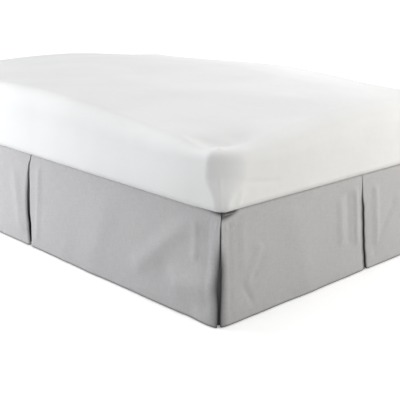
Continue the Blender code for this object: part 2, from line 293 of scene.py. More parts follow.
# Long soft ridges and troughs in which each drop hangs
LEFT_CREASES = (
    Crease(0.020, 0.135, 0.170, 0.100, 0.045, 0.0095),
    Crease(0.120, 0.335, 0.368, 0.115, 0.034, 0.0072),
    Crease(0.105, 0.320, 0.103, 0.215, 0.016, 0.0040),
    Crease(0.052, 0.350, 0.046, 0.060, 0.017, -0.0026),
    Crease(0.240, 0.120, 0.120, 0.030, 0.040, -0.0056),
    Crease(0.560, 0.250, 0.640, 0.040, 0.060, 0.0048),
    Crease(0.900, 0.120, 0.800, 0.060, 0.050, 0.0056),
    Crease(0.966, 0.320, 0.972, 0.060, 0.016, 0.0038),
    Crease(1.130, 0.260, 1.090, 0.070, 0.028, 0.0048),
    Crease(1.420, 0.240, 1.500, 0.030, 0.070, 0.0056),
    Crease(1.780, 0.280, 1.740, 0.040, 0.060, -0.0048),
)
FOOT_CREASES = (
    Crease(0.036, 0.340, 0.046, 0.020, 0.013, -0.0026),
    Crease(0.092, 0.325, 0.100, 0.185, 0.018, 0.0032),
    Crease(0.173, 0.225, 0.112, 0.120, 0.016, 0.0045),
    Crease(0.192, 0.180, 0.150, 0.138, 0.014, -0.0043),
    Crease(0.104, 0.115, 0.140, 0.055, 0.013, -0.0039),
    Crease(0.350, 0.300, 0.420, 0.060, 0.060, 0.0054),
    Crease(0.602, 0.290, 0.617, 0.150, 0.018, 0.0054),
    Crease(0.646, 0.315, 0.664, 0.140, 0.015, -0.0040),
    Crease(0.690, 0.325, 0.712, 0.130, 0.014, 0.0062),
    Crease(0.815, 0.305, 0.840, 0.100, 0.019, 0.0074),
    Crease(0.940, 0.225, 0.830, 0.064, 0.019, -0.0054),
    Crease(1.180, 0.280, 1.240, 0.050, 0.060, 0.0047),
    Crease(1.420, 0.320, 1.440, 0.060, 0.022, -0.0043),
)
RIGHT_CREASES = (
    Crease(0.090, 0.320, 0.100, 0.080, 0.022, 0.0045),
    Crease(0.300, 0.270, 0.220, 0.050, 0.050, -0.0045),
    Crease(0.620, 0.260, 0.700, 0.040, 0.060, 0.0053),
    Crease(0.950, 0.310, 0.965, 0.080, 0.018, 0.0042),
    Crease(1.120, 0.290, 1.080, 0.080, 0.026, 0.0045),
    Crease(1.560, 0.260, 1.480, 0.040, 0.070, 0.0053),
)

# Short tight creases where the cloth is pulled round the foot corners, over the roll
FOOT_PUCKERS = (
    Crease(0.016, 0.362, 0.022, 0.318, 0.0045, 0.0024),
    Crease(0.026, 0.366, 0.040, 0.322, 0.0048, -0.0021),
    Crease(0.040, 0.366, 0.062, 0.330, 0.0052, 0.0021),
    Crease(0.062, 0.367, 0.084, 0.345, 0.0060, -0.0015),
    Crease(1.500, 0.364, 1.492, 0.320, 0.0050, 0.0021),
    Crease(1.484, 0.366, 1.462, 0.330, 0.0055, -0.0018),
)

# The same at the foot ends of the long sides
SIDE_PUCKERS = (
    Crease(0.014, 0.360, 0.018, 0.322, 0.0045, 0.0018),
    Crease(0.030, 0.364, 0.052, 0.330, 0.0060, -0.0015),
    Crease(0.058, 0.366, 0.086, 0.346, 0.0070, 0.0014),
)

# Waves of slack cloth: turns in two metres along and up, and share of the whole unevenness
SLACK_WAVES = (
    (3.1, 1.7, 0.30),
    (5.3, -2.9, 0.26),
    (8.7, 3.8, 0.20),
    (13.9, -6.1, 0.14),
    (21.7, 9.3, 0.10),
)


def smoothstep(low: float, high: float, value: Grid | float) -> Grid | float:
    """Smooth step from 0 at low to 1 at high."""
    share = np.clip((value - low) / (high - low), 0.0, 1.0)
    return share * share * (3.0 - 2.0 * share)


def slack_waves(along: Grid, height: Grid, seed: float) -> Grid:
    """Slight unevenness of hanging cloth, from a few long waves, between about -1 and 1.

    Args:
        along: Distances along the cloth.
        height: Heights of the same points.
        seed: Phase that sets one cloth apart from another.

    Returns:
        The unevenness at each point.
    """
    total = np.zeros_like(along)
    for number, (across, up, share) in enumerate(SLACK_WAVES, start=1):
        turns = across * along / 2.0 + up * height / 2.0
        total = total + share * np.sin(FULL_TURN * turns + seed * number)
    return total


# Meshes


class Workshop:
    """Collection that new pieces go into, and the making of their objects."""

    def __init__(self, name: str) -> None:
        """Makes the collection.

        Args:
            name: Name of the collection.
        """
        self.collection = bpy.data.collections.new(name)
        bpy.context.scene.collection.children.link(self.collection)

    def piece(self, name: str, mesh: bmesh.types.BMesh,
              finishes: list[bpy.types.Material]) -> bpy.types.Object:
        """Turns a bmesh into a smooth piece with its materials.

        Args:
            name: Name of the piece.
            mesh: Mesh, which is freed.
            finishes: Materials, in the order of the mesh's material indices.

        Returns:
            The new object.
        """
        data = bpy.data.meshes.new(name)
        mesh.to_mesh(data)
        mesh.free()
        data.shade_smooth()
        for finish in finishes:
            data.materials.append(finish)
        item = bpy.data.objects.new(name, data)
        self.collection.objects.link(item)
        return item

    def cloth(self, name: str, points: Grid, finish: bpy.types.Material, thickness: float,
              shade_depths: Grid) -> bpy.types.Object:
        """Sheet of cloth through rows of points, with a UV map in metres from its hem and an attribute of
        painted fold shade.

        Args:
            name: Name of the piece.
            points: Array of rows, columns and three coordinates, top row first.
            finish: Material of the cloth.
            thickness: Thickness that Solidify gives, half to each side.
            shade_depths: Painted shade at each point, given as a depth in a fold, by which the material
                darkens the cloth.

        Returns:
            The new object.
        """
        rows, columns = points.shape[0] - 1, points.shape[1] - 1
        across, up = cloth_coordinates(points)
        mesh = bmesh.new()
        bmesh.ops.create_grid(mesh, x_segments=columns, y_segments=rows, size=0.5)
        layer = mesh.loops.layers.uv.new("Cloth")
        painted_shade_layer = mesh.verts.layers.float.new(PAINTED_FOLD_SHADE)
        # The grid runs from -0.5 to 0.5 both ways, so a vertex's place gives its column and row
        places = {}
        for vertex in mesh.verts:
            column = round((vertex.co.x + 0.5) * columns)
            row = round((vertex.co.y + 0.5) * rows)
            places[vertex.index] = (row, column)
            vertex.co = points[row, column]
            # Painted shade of the vertex, which the cloth's material turns into darker colour
            vertex[painted_shade_layer] = shade_depths[row, column]
        for face in mesh.faces:
            for loop in face.loops:
                row, column = places[loop.vert.index]
                loop[layer].uv = (across[row, column], up[row, column])
        item = self.piece(name, mesh, [finish])
        wall = item.modifiers.new("Thickness", "SOLIDIFY")
        wall.thickness = thickness
        wall.offset = 0.0
        wall.use_even_offset = True
        return item


def cloth_coordinates(points: Grid) -> tuple[Grid, Grid]:
    """Lengths along the cloth's own threads, as it lay flat.

    Args:
        points: Array of rows, columns and three coordinates, top row first.

    Returns:
        Length across from the middle column, and length up from the last row, at each point.
    """
    steps = np.linalg.norm(np.diff(points, axis=1), axis=2)
    across = np.concatenate([np.zeros((len(points), 1)), np.cumsum(steps, axis=1)], axis=1)
    across -= across[:, [points.shape[1] // 2]]
    falls = np.linalg.norm(np.diff(points, axis=0), axis=2).mean(axis=1)
    up = np.concatenate([np.cumsum(falls[::-1])[::-1], [0.0]])
    return across, np.repeat(up[:, None], points.shape[1], axis=1)


def edge_extent(edge: bmesh.types.BMEdge, axis: int) -> float:
    """How far an edge reaches along one axis."""
    return abs(edge.verts[0].co[axis] - edge.verts[1].co[axis])


def flat_size(points: Grid) -> tuple[float, float]:
    """Width and length that a sheet was cut to, from its points."""
    across, up = cloth_coordinates(points)
    return float(np.ptp(across, axis=1).mean()), float(up.max())


def declare_cloth(item: bpy.types.Object, node: str, points: Grid) -> bpy.types.Object:
    """Attaches a sheet of the skirt to the bed, which it rides on, and hides the solid of the frame that it
    stands for.

    Args:
        item: Sheet of cloth.
        node: Solid that it stands for.
        points: Its points, top row first.

    Returns:
        The same sheet.
    """
    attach(item, BODY)
    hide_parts(node)
    flat_size(points)
    return item


# The skirt's own pieces


@dataclass(frozen=True)
class Drop:
    """One drop of the skirt, with its inverted pleat and its ends turned back at the corners."""

    name: str
    node: str
    wall: Wall
    profile: DropProfile
    length: float
    pleat_at: float
    slit: Slit
    creases: tuple[Crease, ...]
    puckers: tuple[Crease, ...]
    seed: float
    both_ends_turned: bool = False
    corner_sag: float = 0.0
    sag_reach: float = 0.110
    columns: int = 150
    fold_steps: int = 8
    return_steps: int = 9
    pleat_depth: float = 0.090
    underlay_bow: float = 0.006
    underlay_hollow: float = 0.020
    hollow_range: Range = (0.62, 0.84)
    crease_fade: float = 0.16
    pucker_fade: float = 0.03
    near_roll: Roll = Roll(0.0040, 0.012)
    far_roll: Roll = Roll(0.0042, 0.011)
    corner_roll: Roll = Roll(0.0056, 0.038)
    curl_range: Range = (0.06, 0.36)
    # Painted shade: how strongly the pleat's layers, the curled edges, the turn toward each corner and the
    # sagged roll under the mattress darken the cloth's colour
    layer_shade: Range = (1.0, 1.0)
    curl_shade: float = 1.0
    corner_shade: float = 1.35
    corner_full: float = 0.45
    corner_ease: float = 0.30
    corner_eased: float = 0.85
    turn_shade: float = 0.0046
    turn_edge: float = 0.020
    turn_reach: float = 0.140
    turn_top: float = 0.5
    hook_shade: float = 2.0
    slack: float = 0.0012
    hem_height: float = 0.024
    hem_ledge: float = 0.002
    hem_relief: float = 0.0003

    def fold_round(self, edge: float, way: float, depth: float, spacing: float) -> list[Station]:
        """Stations round a fold, from one layer to the next.

        Args:
            edge: Outermost place of the fold along the wall.
            way: 1 if the fold points to larger distances, else -1.
            depth: Depth of the first layer.
            spacing: Distance between the two layers.

        Returns:
            Distance along the wall and depth of each station.
        """
        radius = spacing / 2.0
        stations = []
        for step in range(self.fold_steps + 1):
            angle = math.pi * (step / self.fold_steps - 0.5)
            along = edge - way * radius * (1.0 - math.cos(angle))
            stations.append((along, depth + radius + radius * math.sin(angle)))
        return stations

    def panel(self, start: float, end: float, row: ProfileRow) -> list[Station]:
        """Stations of a flat panel between two folds, closer together near its ends.

        Args:
            start: Place of the first fold.
            end: Place of the second fold.
            row: Row of the profile.

        Returns:
            Distance along the wall and depth of each station.
        """
        radius = self.profile.layer(row) / 2.0
        start, end = start + radius, end - radius
        turns = (math.pi * step / self.columns for step in range(1, self.columns))
        return [(start + (end - start) * (0.5 - 0.5 * math.cos(turn)), 0.0) for turn in turns]

    def straight(self, start: float, end: float, start_depth: float, end_depth: float) -> list[Station]:
        """Stations between two points of a layer, both points left out.

        Args:
            start: Place of the first point.
            end: Place of the second point.
            start_depth: Depth of the first point.
            end_depth: Depth of the second point.

        Returns:
            Distance along the wall and depth of each station.
        """
        shares = (step / self.return_steps for step in range(1, self.return_steps))
        return [
            (start + (end - start) * share, start_depth + (end_depth - start_depth) * share)
            for share in shares
        ]

    def inverted_pleat(self, centre: float, half_gap: float, row: ProfileRow) -> list[Station]:
        """Stations of an inverted box pleat: two fold-backs, and the underlay behind them.

        Args:
            centre: Middle of the slit along the wall.
            half_gap: Half of the slit's opening.
            row: Row of the profile.

        Returns:
            Distance along the wall and depth of each station.
        """
        spacing = self.profile.layer(row)
        under = 2.0 * spacing
        deepest = under + self.underlay_bow * row.fall
        deepest += self.underlay_hollow * smoothstep(*self.hollow_range, row.fall)
        slit_edge = centre - half_gap
        back_edge = centre - self.pleat_depth
        half = self.fold_round(slit_edge, 1.0, 0.0, spacing)
        half += self.straight(slit_edge, back_edge, spacing, spacing)
        half += self.fold_round(back_edge, -1.0, spacing, spacing)
        half += self.straight(back_edge, slit_edge, under, deepest)
        mirrored = [(2.0 * centre - along, depth) for along, depth in reversed(half)]
        return half + [(centre, deepest)] + mirrored

    def corner_return(self, end: float, way: float, row: ProfileRow) -> list[Station]:
        """Stations of a panel's end: round the fold at the corner and back behind the panel.

        Args:
            end: Place of the fold along the wall.
            way: 1 if the end points to larger distances, else -1.
            row: Row of the profile.

        Returns:
            Distance along the wall and depth of each station.
        """
        spacing = self.profile.layer(row)
        back_edge = end - way * self.pleat_depth
        stations = self.fold_round(end, way, 0.0, spacing)
        stations += self.straight(end, back_edge, spacing, spacing)
        return stations + [(back_edge, spacing)]

    def corner_start(self, row: ProfileRow) -> float:
        """Place where the drop begins beside its corner, whose slit wanders toward the foot side.

        Args:
            row: Row of the profile.

        Returns:
            Distance of the drop's first fold from the corner.
        """
        wander, half_gap = CORNER_SLIT.at(row.fall)
        way = 1.0 if self.wall is Wall.FOOT else -1.0
        return half_gap + way * wander - float(self.profile.skin(row)[0])

    def line(self, row: ProfileRow) -> Grid:
        """Stations of the whole drop at one row, from its first corner on.

        Args:
            row: Row of the profile.

        Returns:
            Array of distances along the wall and depths.
        """
        start = self.corner_start(row)
        wander, half_gap = self.slit.at(row.fall)
        centre = self.pleat_at + wander
        end = self.length - start if self.both_ends_turned else self.length
        stations = self.corner_return(start, -1.0, row)[::-1]
        stations += self.panel(start, centre - half_gap, row)
        stations += self.inverted_pleat(centre, half_gap, row)
        stations += self.panel(centre + half_gap, end, row)
        if self.both_ends_turned:
            stations += self.corner_return(end, 1.0, row)
        else:
            stations.append((end, 0.0))
        return np.array(stations)

    def rolled_edges(self, along: Grid, row: ProfileRow) -> tuple[Grid, Grid, Grid]:
        """How far the cloth curls in beside the slit and the corners, all its layers together.

        Args:
            along: Distances along the wall.
            row: Row of the profile.

        Returns:
            Distance into the wall beside the slit, the same beside the corners, and the share of
            the way across the slit, at each point.
        """
        wander, half_gap = self.slit.at(row.fall)
        start = self.corner_start(row)
        past = along - self.pleat_at - wander
        across = smoothstep(-half_gap, half_gap, past)
        near_curl = self.near_roll.curl(-past - half_gap)
        far_curl = self.far_roll.curl(past - half_gap)
        curl = (1.0 - across) * near_curl + across * far_curl
        corner_curl = self.corner_roll.curl(along - start)
        if self.both_ends_turned:
            corner_curl = corner_curl + self.corner_roll.curl(self.length - start - along)
        hang = smoothstep(*self.curl_range, row.fall)
        return hang * curl, hang * corner_curl, across

    def relief(self, along: Grid, height: Grid, row: ProfileRow) -> Grid:
        """Push of creases, puckers, slack and hem out of the wall.

        Args:
            along: Distances along the wall.
            height: Heights of the same points.
            row: Row of the profile.

        Returns:
            Distance out of the wall at each point.
        """
        fade = smoothstep(0.0, self.crease_fade, row.fall)
        push = fade * sum(crease.relief(along, height) for crease in self.creases)
        pucker_fade = smoothstep(0.0, self.pucker_fade, row.fall)
        push = push + pucker_fade * sum(pucker.relief(along, height) for pucker in self.puckers)
        push = push + self.slack * row.fall * fade * slack_waves(along, height, self.seed)
        above_hem = height - self.profile.bed.hem
        ledge = 1.0 - smoothstep(self.hem_height - self.hem_ledge, self.hem_height, above_hem)
        return push + self.hem_relief * ledge

    def place(self, along: Grid, outward: Grid, height: Grid) -> Grid:
        """Points in the bed's frame.

        Args:
            along: Distances along the wall.
            outward: Distances out of the wall.
            height: Heights above the floor.

        Returns:
            Array of points.
        """
        bed = self.profile.bed
        if self.wall is Wall.FOOT:
            return np.stack([along - bed.wall_x, -bed.wall_y - outward, height], axis=1)
        way = -1.0 if self.wall is Wall.LEFT else 1.0
        return np.stack([way * (bed.wall_x + outward), along - bed.wall_y, height], axis=1)

    def painted_corner_shade(self, to_end: Grid, row: ProfileRow) -> tuple[float, Grid]:
        """Painted shade beside the drop's corners at one row.

        Args:
            to_end: Distances from the nearest turned-back end.
            row: Row of the profile.

        Returns:
            Share of the corner curl that is painted as shade, and the painted shade that the turn of the
            drop toward its corner adds at each point, as extra fold depth.
        """
        eased = smoothstep(self.corner_full, self.corner_eased, row.fall)
        curl_share = smoothstep(0.0, self.corner_full, row.fall) - self.corner_ease * eased
        # Painted shade where the drop turns toward its corner, stronger lower down
        turn = self.turn_shade * (1.0 - smoothstep(self.turn_edge, self.turn_reach, to_end))
        turn = turn * (self.turn_top + (1.0 - self.turn_top) * row.fall)
        return curl_share, turn * smoothstep(0.0, self.crease_fade, row.fall)

    def points(self) -> tuple[Grid, Grid]:
        """Points of the drop, from its stations at each row of the profile.

        Returns:
            Array of points, and the painted shade of each, given as a depth in a fold.
        """
        near_shade, far_shade = self.layer_shade
        grid, shade_depths = [], []
        for row in self.profile.rows():
            along, depth = self.line(row).T
            to_end = np.minimum(along, self.length - along) if self.both_ends_turned else along
            sag = self.corner_sag * (1.0 - smoothstep(0.0, self.sag_reach, to_end))
            outward, height, out_part, up_part = self.profile.skin(row, sag)
            curl, corner_curl, across = self.rolled_edges(along, row)
            curl_share, turn = self.painted_corner_shade(to_end, row)
            # Painted shade: darker deep in the pleat's layers, along curled edges, where the drop turns
            # toward its corner, and on the sagged roll under the mattress's edge
            layers = depth * (near_shade + (far_shade - near_shade) * across)
            shaded = self.curl_shade * curl + self.corner_shade * curl_share * corner_curl
            shade_depths.append(layers + shaded + turn + self.hook_shade * sag * up_part)
            push = self.relief(along, height, row) - depth - curl - corner_curl
            grid.append(self.place(along, outward + push * out_part, height + push * up_part))
        return np.array(grid), np.array(shade_depths)

    def build(self, shop: Workshop, finish: bpy.types.Material) -> bpy.types.Object:
        """Args:
            shop: Workshop that makes the piece.
            finish: Cloth of the drop.

        Returns:
            The drop.
        """
        points, shade_depths = self.points()
        item = shop.cloth(self.name, points, finish, self.profile.bed.cloth, shade_depths)
        return declare_cloth(item, self.node, points)


@dataclass(frozen=True)
class CornerInsert:
    """Strip that hangs behind a split corner and closes it."""

    name: str
    node: str
    side: float
    profile: DropProfile
    pivot: float = 0.028
    leg: float = 0.076
    leg_steps: int = 14
    turn_steps: int = 16
    seam_back: float = 0.0007
    hang_back: float = 0.0035
    # Share of its depth by which the strip is darkened, as painted shade
    shade: float = 0.72
    sag: float = 0.024
    hang_fade: float = 0.16
    ripple: float = 0.0011

    def depth(self, row: ProfileRow) -> float:
        """How deep the strip lies behind the outer face of the drops."""
        hang = smoothstep(0.0, self.hang_fade, row.fall)
        return 2.0 * self.profile.layer(row) + self.seam_back + self.hang_back * hang

    def row_points(self, row: ProfileRow) -> list[Point]:
        """Points of the strip at one row, from the long side round to the foot side.

        Args:
            row: Row of the profile.

        Returns:
            The points of the row.
        """
        bed = self.profile.bed
        hang = smoothstep(0.0, self.hang_fade, row.fall)
        depth = self.depth(row)
        outward, height, out_part, up_part = (float(part) for part in self.profile.skin(row, self.sag))
        radius = self.pivot + outward - depth * out_part
        level = height - depth * up_part
        pivot_x, pivot_y = bed.wall_x - self.pivot, -bed.wall_y + self.pivot
        legs = [self.leg * (1.0 - step / self.leg_steps) for step in range(self.leg_steps)]
        plan = [(pivot_x + radius, pivot_y + leg) for leg in legs]
        for step in range(self.turn_steps + 1):
            angle = math.pi / 2.0 * step / self.turn_steps
            reach = radius - self.ripple * hang * row.fall * (1.0 - math.cos(4.0 * angle))
            plan.append((pivot_x + reach * math.cos(angle), pivot_y - reach * math.sin(angle)))
        plan += [(pivot_x - leg, pivot_y - radius) for leg in reversed(legs)]
        return [(self.side * x, y, level) for x, y in plan]

    def build(self, shop: Workshop, finish: bpy.types.Material) -> bpy.types.Object:
        """Args:
            shop: Workshop that makes the piece.
            finish: Cloth of the insert.

        Returns:
            The insert.
        """
        points = np.array([self.row_points(row) for row in self.profile.rows()])
        # Painted shade over the whole strip, from how deep it lies behind the drops
        shade_depths = np.array([[self.shade * self.depth(row)] * points.shape[1] for row in self.profile.rows()])
        item = shop.cloth(self.name, points, finish, self.profile.bed.cloth, shade_depths)
        return declare_cloth(item, self.node, points)


@dataclass(frozen=True)
class Deck:
    """Platform sheet on the foundation, up to the seam strips of the drops."""

    profile: DropProfile
    seam_gap: float = 0.0008
    columns: int = 60
    rows: int = 80

    def build(self, shop: Workshop, finish: bpy.types.Material) -> bpy.types.Object:
        """Args:
            shop: Workshop that makes the piece.
            finish: Cloth of the deck.

        Returns:
            The deck.
        """
        bed = self.profile.bed
        inset = self.profile.roll + self.profile.seam_strip + self.seam_gap
        across = np.linspace(-bed.wall_x + inset, bed.wall_x - inset, self.columns + 1)
        along = np.linspace(-bed.wall_y + inset, bed.head, self.rows + 1)
        plan_x, plan_y = np.meshgrid(across, along)
        points = np.stack([plan_x, plan_y, np.full_like(plan_x, bed.top)], axis=2)
        item = shop.cloth("deck_cloth", points, finish, bed.cloth, np.zeros_like(plan_x))
        return declare_cloth(item, "deck", points)


@dataclass(frozen=True)
class Skirt:
    """The whole skirt: deck, three drops and two corner inserts."""

    bed: BedSize

    def drops(self) -> list[Drop]:
        """The three drops, each with its own folds.

        Returns:
            The drops.
        """
        profile = DropProfile(self.bed)
        side_length, side_pleat = self.bed.wall_y + self.bed.head, self.bed.wall_y
        foot_length, foot_pleat = 2.0 * self.bed.wall_x, self.bed.wall_x
        left = Drop("left_drop_cloth", "side_drop_left", Wall.LEFT, profile, side_length, side_pleat,
                    SIDE_SLIT, LEFT_CREASES, SIDE_PUCKERS, seed=1.7, corner_sag=0.008)
        right = Drop("right_drop_cloth", "side_drop_right", Wall.RIGHT, profile, side_length, side_pleat,
                     SIDE_SLIT, RIGHT_CREASES, SIDE_PUCKERS, seed=4.1, corner_sag=0.008)
        # The foot drop's painted shade is lighter on the near side of its underlay, darker on the far side,
        # and dark along its near curl
        foot = Drop("foot_drop_cloth", "foot_drop", Wall.FOOT, profile, foot_length, foot_pleat,
                    FOOT_SLIT, FOOT_CREASES, FOOT_PUCKERS, seed=2.9, corner_sag=0.024, both_ends_turned=True,
                    underlay_bow=0.0, underlay_hollow=0.0, near_roll=Roll(0.0075, 0.046),
                    far_roll=Roll(0.0025, 0.014), layer_shade=(0.45, 1.4), curl_shade=2.3)
        return [left, right, foot]

    def build(self, shop: Workshop, hemmed: bpy.types.Material, plain: bpy.types.Material) -> None:
        """Makes every piece of the skirt.

        Args:
            shop: Workshop that makes the pieces.
            hemmed: Cloth with a sewn hem.
            plain: Cloth without one.
        """
        profile = DropProfile(self.bed)
        for drop in self.drops():
            item = drop.build(shop, hemmed)
            log.info("%s: %d columns of points", item.name, len(drop.line(profile.rows()[0])))
        for side, name in ((-1.0, "left"), (1.0, "right")):
            insert = CornerInsert(f"{name}_insert_cloth", f"corner_insert_{name}", side, profile)
            log.info("%s made", insert.build(shop, hemmed).name)
        log.info("%s made", Deck(profile).build(shop, plain).name)


# What the skirt lies between and hangs on


@dataclass(frozen=True)
class Rumple:
    """Soft ridge or hollow of a sheeted surface between two points, pushed along its normal."""

    start: Point
    end: Point
    half_width: float
    depth: float

    def relief(self, points: Grid) -> Grid:
        """Push of the rumple at each point.

        Args:
            points: Array of points.

        Returns:
            Distance out of the surface at each point.
        """
        start = np.array(self.start)
        run = np.array(self.end) - start
        share = np.clip(((points - start) @ run) / (run @ run), 0.0, 1.0)
        offset = points - start - share[:, None] * run
        return self.depth * np.exp(-(offset**2).sum(axis=1) / self.half_width**2)


@dataclass(frozen=True)
class Mattress:
    """Filled mattress in white sheeting: crowned, soft at its edges and slumped at its corners."""

    bed: BedSize
    height: float = 0.254
    dome: float = 0.262
    crown: float = 0.012
    crown_reach: float = 0.48
    slump: float = 0.060
    head_slump: float = 0.024
    slump_range: Range = (-0.30, 0.80)
    head_fall: float = 0.014
    head_fall_from: float = 0.15
    right_fall: float = 0.022
    right_fall_from: float = 0.10
    right_fall_range: Range = (-0.95, -0.40)
    top_edge: float = 0.070
    corner_edge: float = 0.034
    edge_power: int = 6
    foot_edge: float = 0.026
    corner_x: float = 0.105
    corner_y: float = 0.074
    low_corner: float = 0.036
    corner_level: float = 0.3
    corner_power: float = 1.6
    spread: float = 2.3
    cuts_across: int = 131
    cuts_along: int = 161
    cuts_up: int = 31

    def rumples(self) -> tuple[Rumple, ...]:
        """Hollows, dips and pulled creases of the sheeting.

        Returns:
            The rumples.
        """
        return (
            Rumple((-0.685, -0.905, 0.555), (-0.610, -0.925, 0.560), 0.062, -0.019),
            Rumple((-0.697, -0.829, 0.566), (-0.652, -0.917, 0.562), 0.022, -0.0050),
            Rumple((-0.728, -0.968, 0.556), (-0.766, -1.018, 0.385), 0.0065, 0.0022),
            Rumple((-0.742, -0.942, 0.545), (-0.768, -0.960, 0.389), 0.010, 0.0022),
            Rumple((-0.651, -1.002, 0.542), (-0.675, -1.022, 0.417), 0.014, 0.0018),
            Rumple((-0.722, -0.960, 0.560), (-0.712, -0.950, 0.560), 0.010, 0.0065),
            Rumple((-0.668, -1.022, 0.457), (-0.526, -1.022, 0.439), 0.009, -0.0032),
            Rumple((-0.690, -1.024, 0.432), (-0.700, -1.024, 0.400), 0.012, 0.0050),
            Rumple((-0.560, -1.030, 0.530), (0.700, -1.030, 0.530), 0.085, 0.0075),
            Rumple((-0.776, -0.860, 0.420), (-0.776, 0.900, 0.420), 0.085, 0.0060),
            Rumple((-0.749, -0.548, 0.566), (-0.745, -0.620, 0.564), 0.010, -0.0030),
        )

    def half_sizes(self) -> tuple[float, float]:
        """Half of the width and half of the length."""
        return self.bed.wall_x + self.bed.overhang, self.bed.wall_y + self.bed.overhang

    def plan_point(self, share_x: float, share_y: float, level: float) -> tuple[float, float, float]:
        """Point of the plan, with round corners, and its distance from the outline.

        Args:
            share_x: Place across, from -1 to 1.
            share_y: Place along, from -1 to 1.
            level: Height, from -1 to 1.

        Returns:
            The point's two coordinates and its distance inside the outline.
        """
        half_x, half_y = self.half_sizes()
        x, y = abs(share_x) * half_x, abs(share_y) * half_y
        grown = smoothstep(-1.0, self.corner_level, level)
        corner_x = self.low_corner + (self.corner_x - self.low_corner) * grown
        corner_y = self.low_corner + (self.corner_y - self.low_corner) * grown
        inner_x, inner_y = half_x - corner_x, half_y - corner_y
        inside = min(half_x - x, half_y - y)
        if x > inner_x and y > inner_y:
            # A point of a unit square goes to a unit disc, and then to a corner between round and straight
            a, b = (x - inner_x) / corner_x, (y - inner_y) / corner_y
            arm_x, arm_y = a * math.sqrt(1.0 - b * b / 2.0), b * math.sqrt(1.0 - a * a / 2.0)
            reach = math.hypot(arm_x, arm_y)
            power = self.corner_power
            flat = reach / (arm_x**power + arm_y**power) ** (1.0 / power)
            x, y = inner_x + corner_x * arm_x * flat, inner_y + corner_y * arm_y * flat
            inside = (1.0 - reach) * flat * (corner_x * arm_x**2 + corner_y * arm_y**2) / reach**2
        return math.copysign(x, share_x), math.copysign(y, share_y), max(inside, 0.0)

    @staticmethod
    def edge_drop(radius: float, inside: float) -> float:
        """How far a rounded edge has dropped at a distance inside the outline."""
        short = max(radius - inside, 0.0)
        return radius - math.sqrt(radius * radius - short * short)

    def point(self, place: Vector) -> Vector:
        """Where a point of a cube from -1 to 1 lies on the mattress.

        Args:
            place: Point of the cube.

        Returns:
            Point of the mattress.
        """
        floor = self.bed.top + self.bed.cloth / 2.0 + self.bed.gap
        half_x, half_y = self.half_sizes()
        to_edge = (1.0 - min(abs(share), 1.0) for share in place[:2])
        shares = [math.copysign(1.0 - left**self.spread, share) for left, share in zip(to_edge, place)]
        x, y, inside = self.plan_point(*shares, place.z)
        dome = self.dome - self.crown * (1.0 - smoothstep(0.0, self.crown_reach, inside))
        slump_x = 1.0 - smoothstep(0.0, half_x, half_x - abs(x))
        slump_y = 1.0 - smoothstep(0.0, half_y, half_y - abs(y))
        slump = self.slump + (self.head_slump - self.slump) * smoothstep(*self.slump_range, y)
        dome -= slump * slump_x * slump_y
        dome -= self.head_fall * smoothstep(self.head_fall_from, half_y, y)
        right_share = smoothstep(self.right_fall_from, half_x, x) * smoothstep(*self.right_fall_range, y)
        dome -= self.right_fall * right_share
        radius = self.top_edge + (self.corner_edge - self.top_edge) * (slump_x * slump_y) ** self.edge_power
        top = min(dome, self.height) - self.edge_drop(radius, inside)
        bottom = self.edge_drop(self.foot_edge, inside)
        return Vector((x, y, floor + bottom + (top - bottom) * (0.5 + 0.5 * place.z)))

    def build(self, shop: Workshop, finish: bpy.types.Material) -> bpy.types.Object:
        """Args:
            shop: Workshop that makes the piece.
            finish: Its sheeting.

        Returns:
            The mattress.
        """
        mesh = bmesh.new()
        bmesh.ops.create_cube(mesh, size=2.0)
        for axis, cuts in enumerate((self.cuts_across, self.cuts_along, self.cuts_up)):
            edges = [edge for edge in mesh.edges if edge_extent(edge, axis) > TINY]
            bmesh.ops.subdivide_edges(mesh, edges=edges, cuts=cuts, use_grid_fill=True)
        for vertex in mesh.verts:
            vertex.co = self.point(vertex.co)
        mesh.normal_update()
        points = np.array([vertex.co[:] for vertex in mesh.verts])
        push = sum(rumple.relief(points) for rumple in self.rumples())
        for vertex, distance in zip(mesh.verts, push):
            vertex.co += vertex.normal * float(distance)
        item = shop.piece("sheeted_mattress", mesh, [finish])
        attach(item, BODY)
        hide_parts("mattress")
        return item


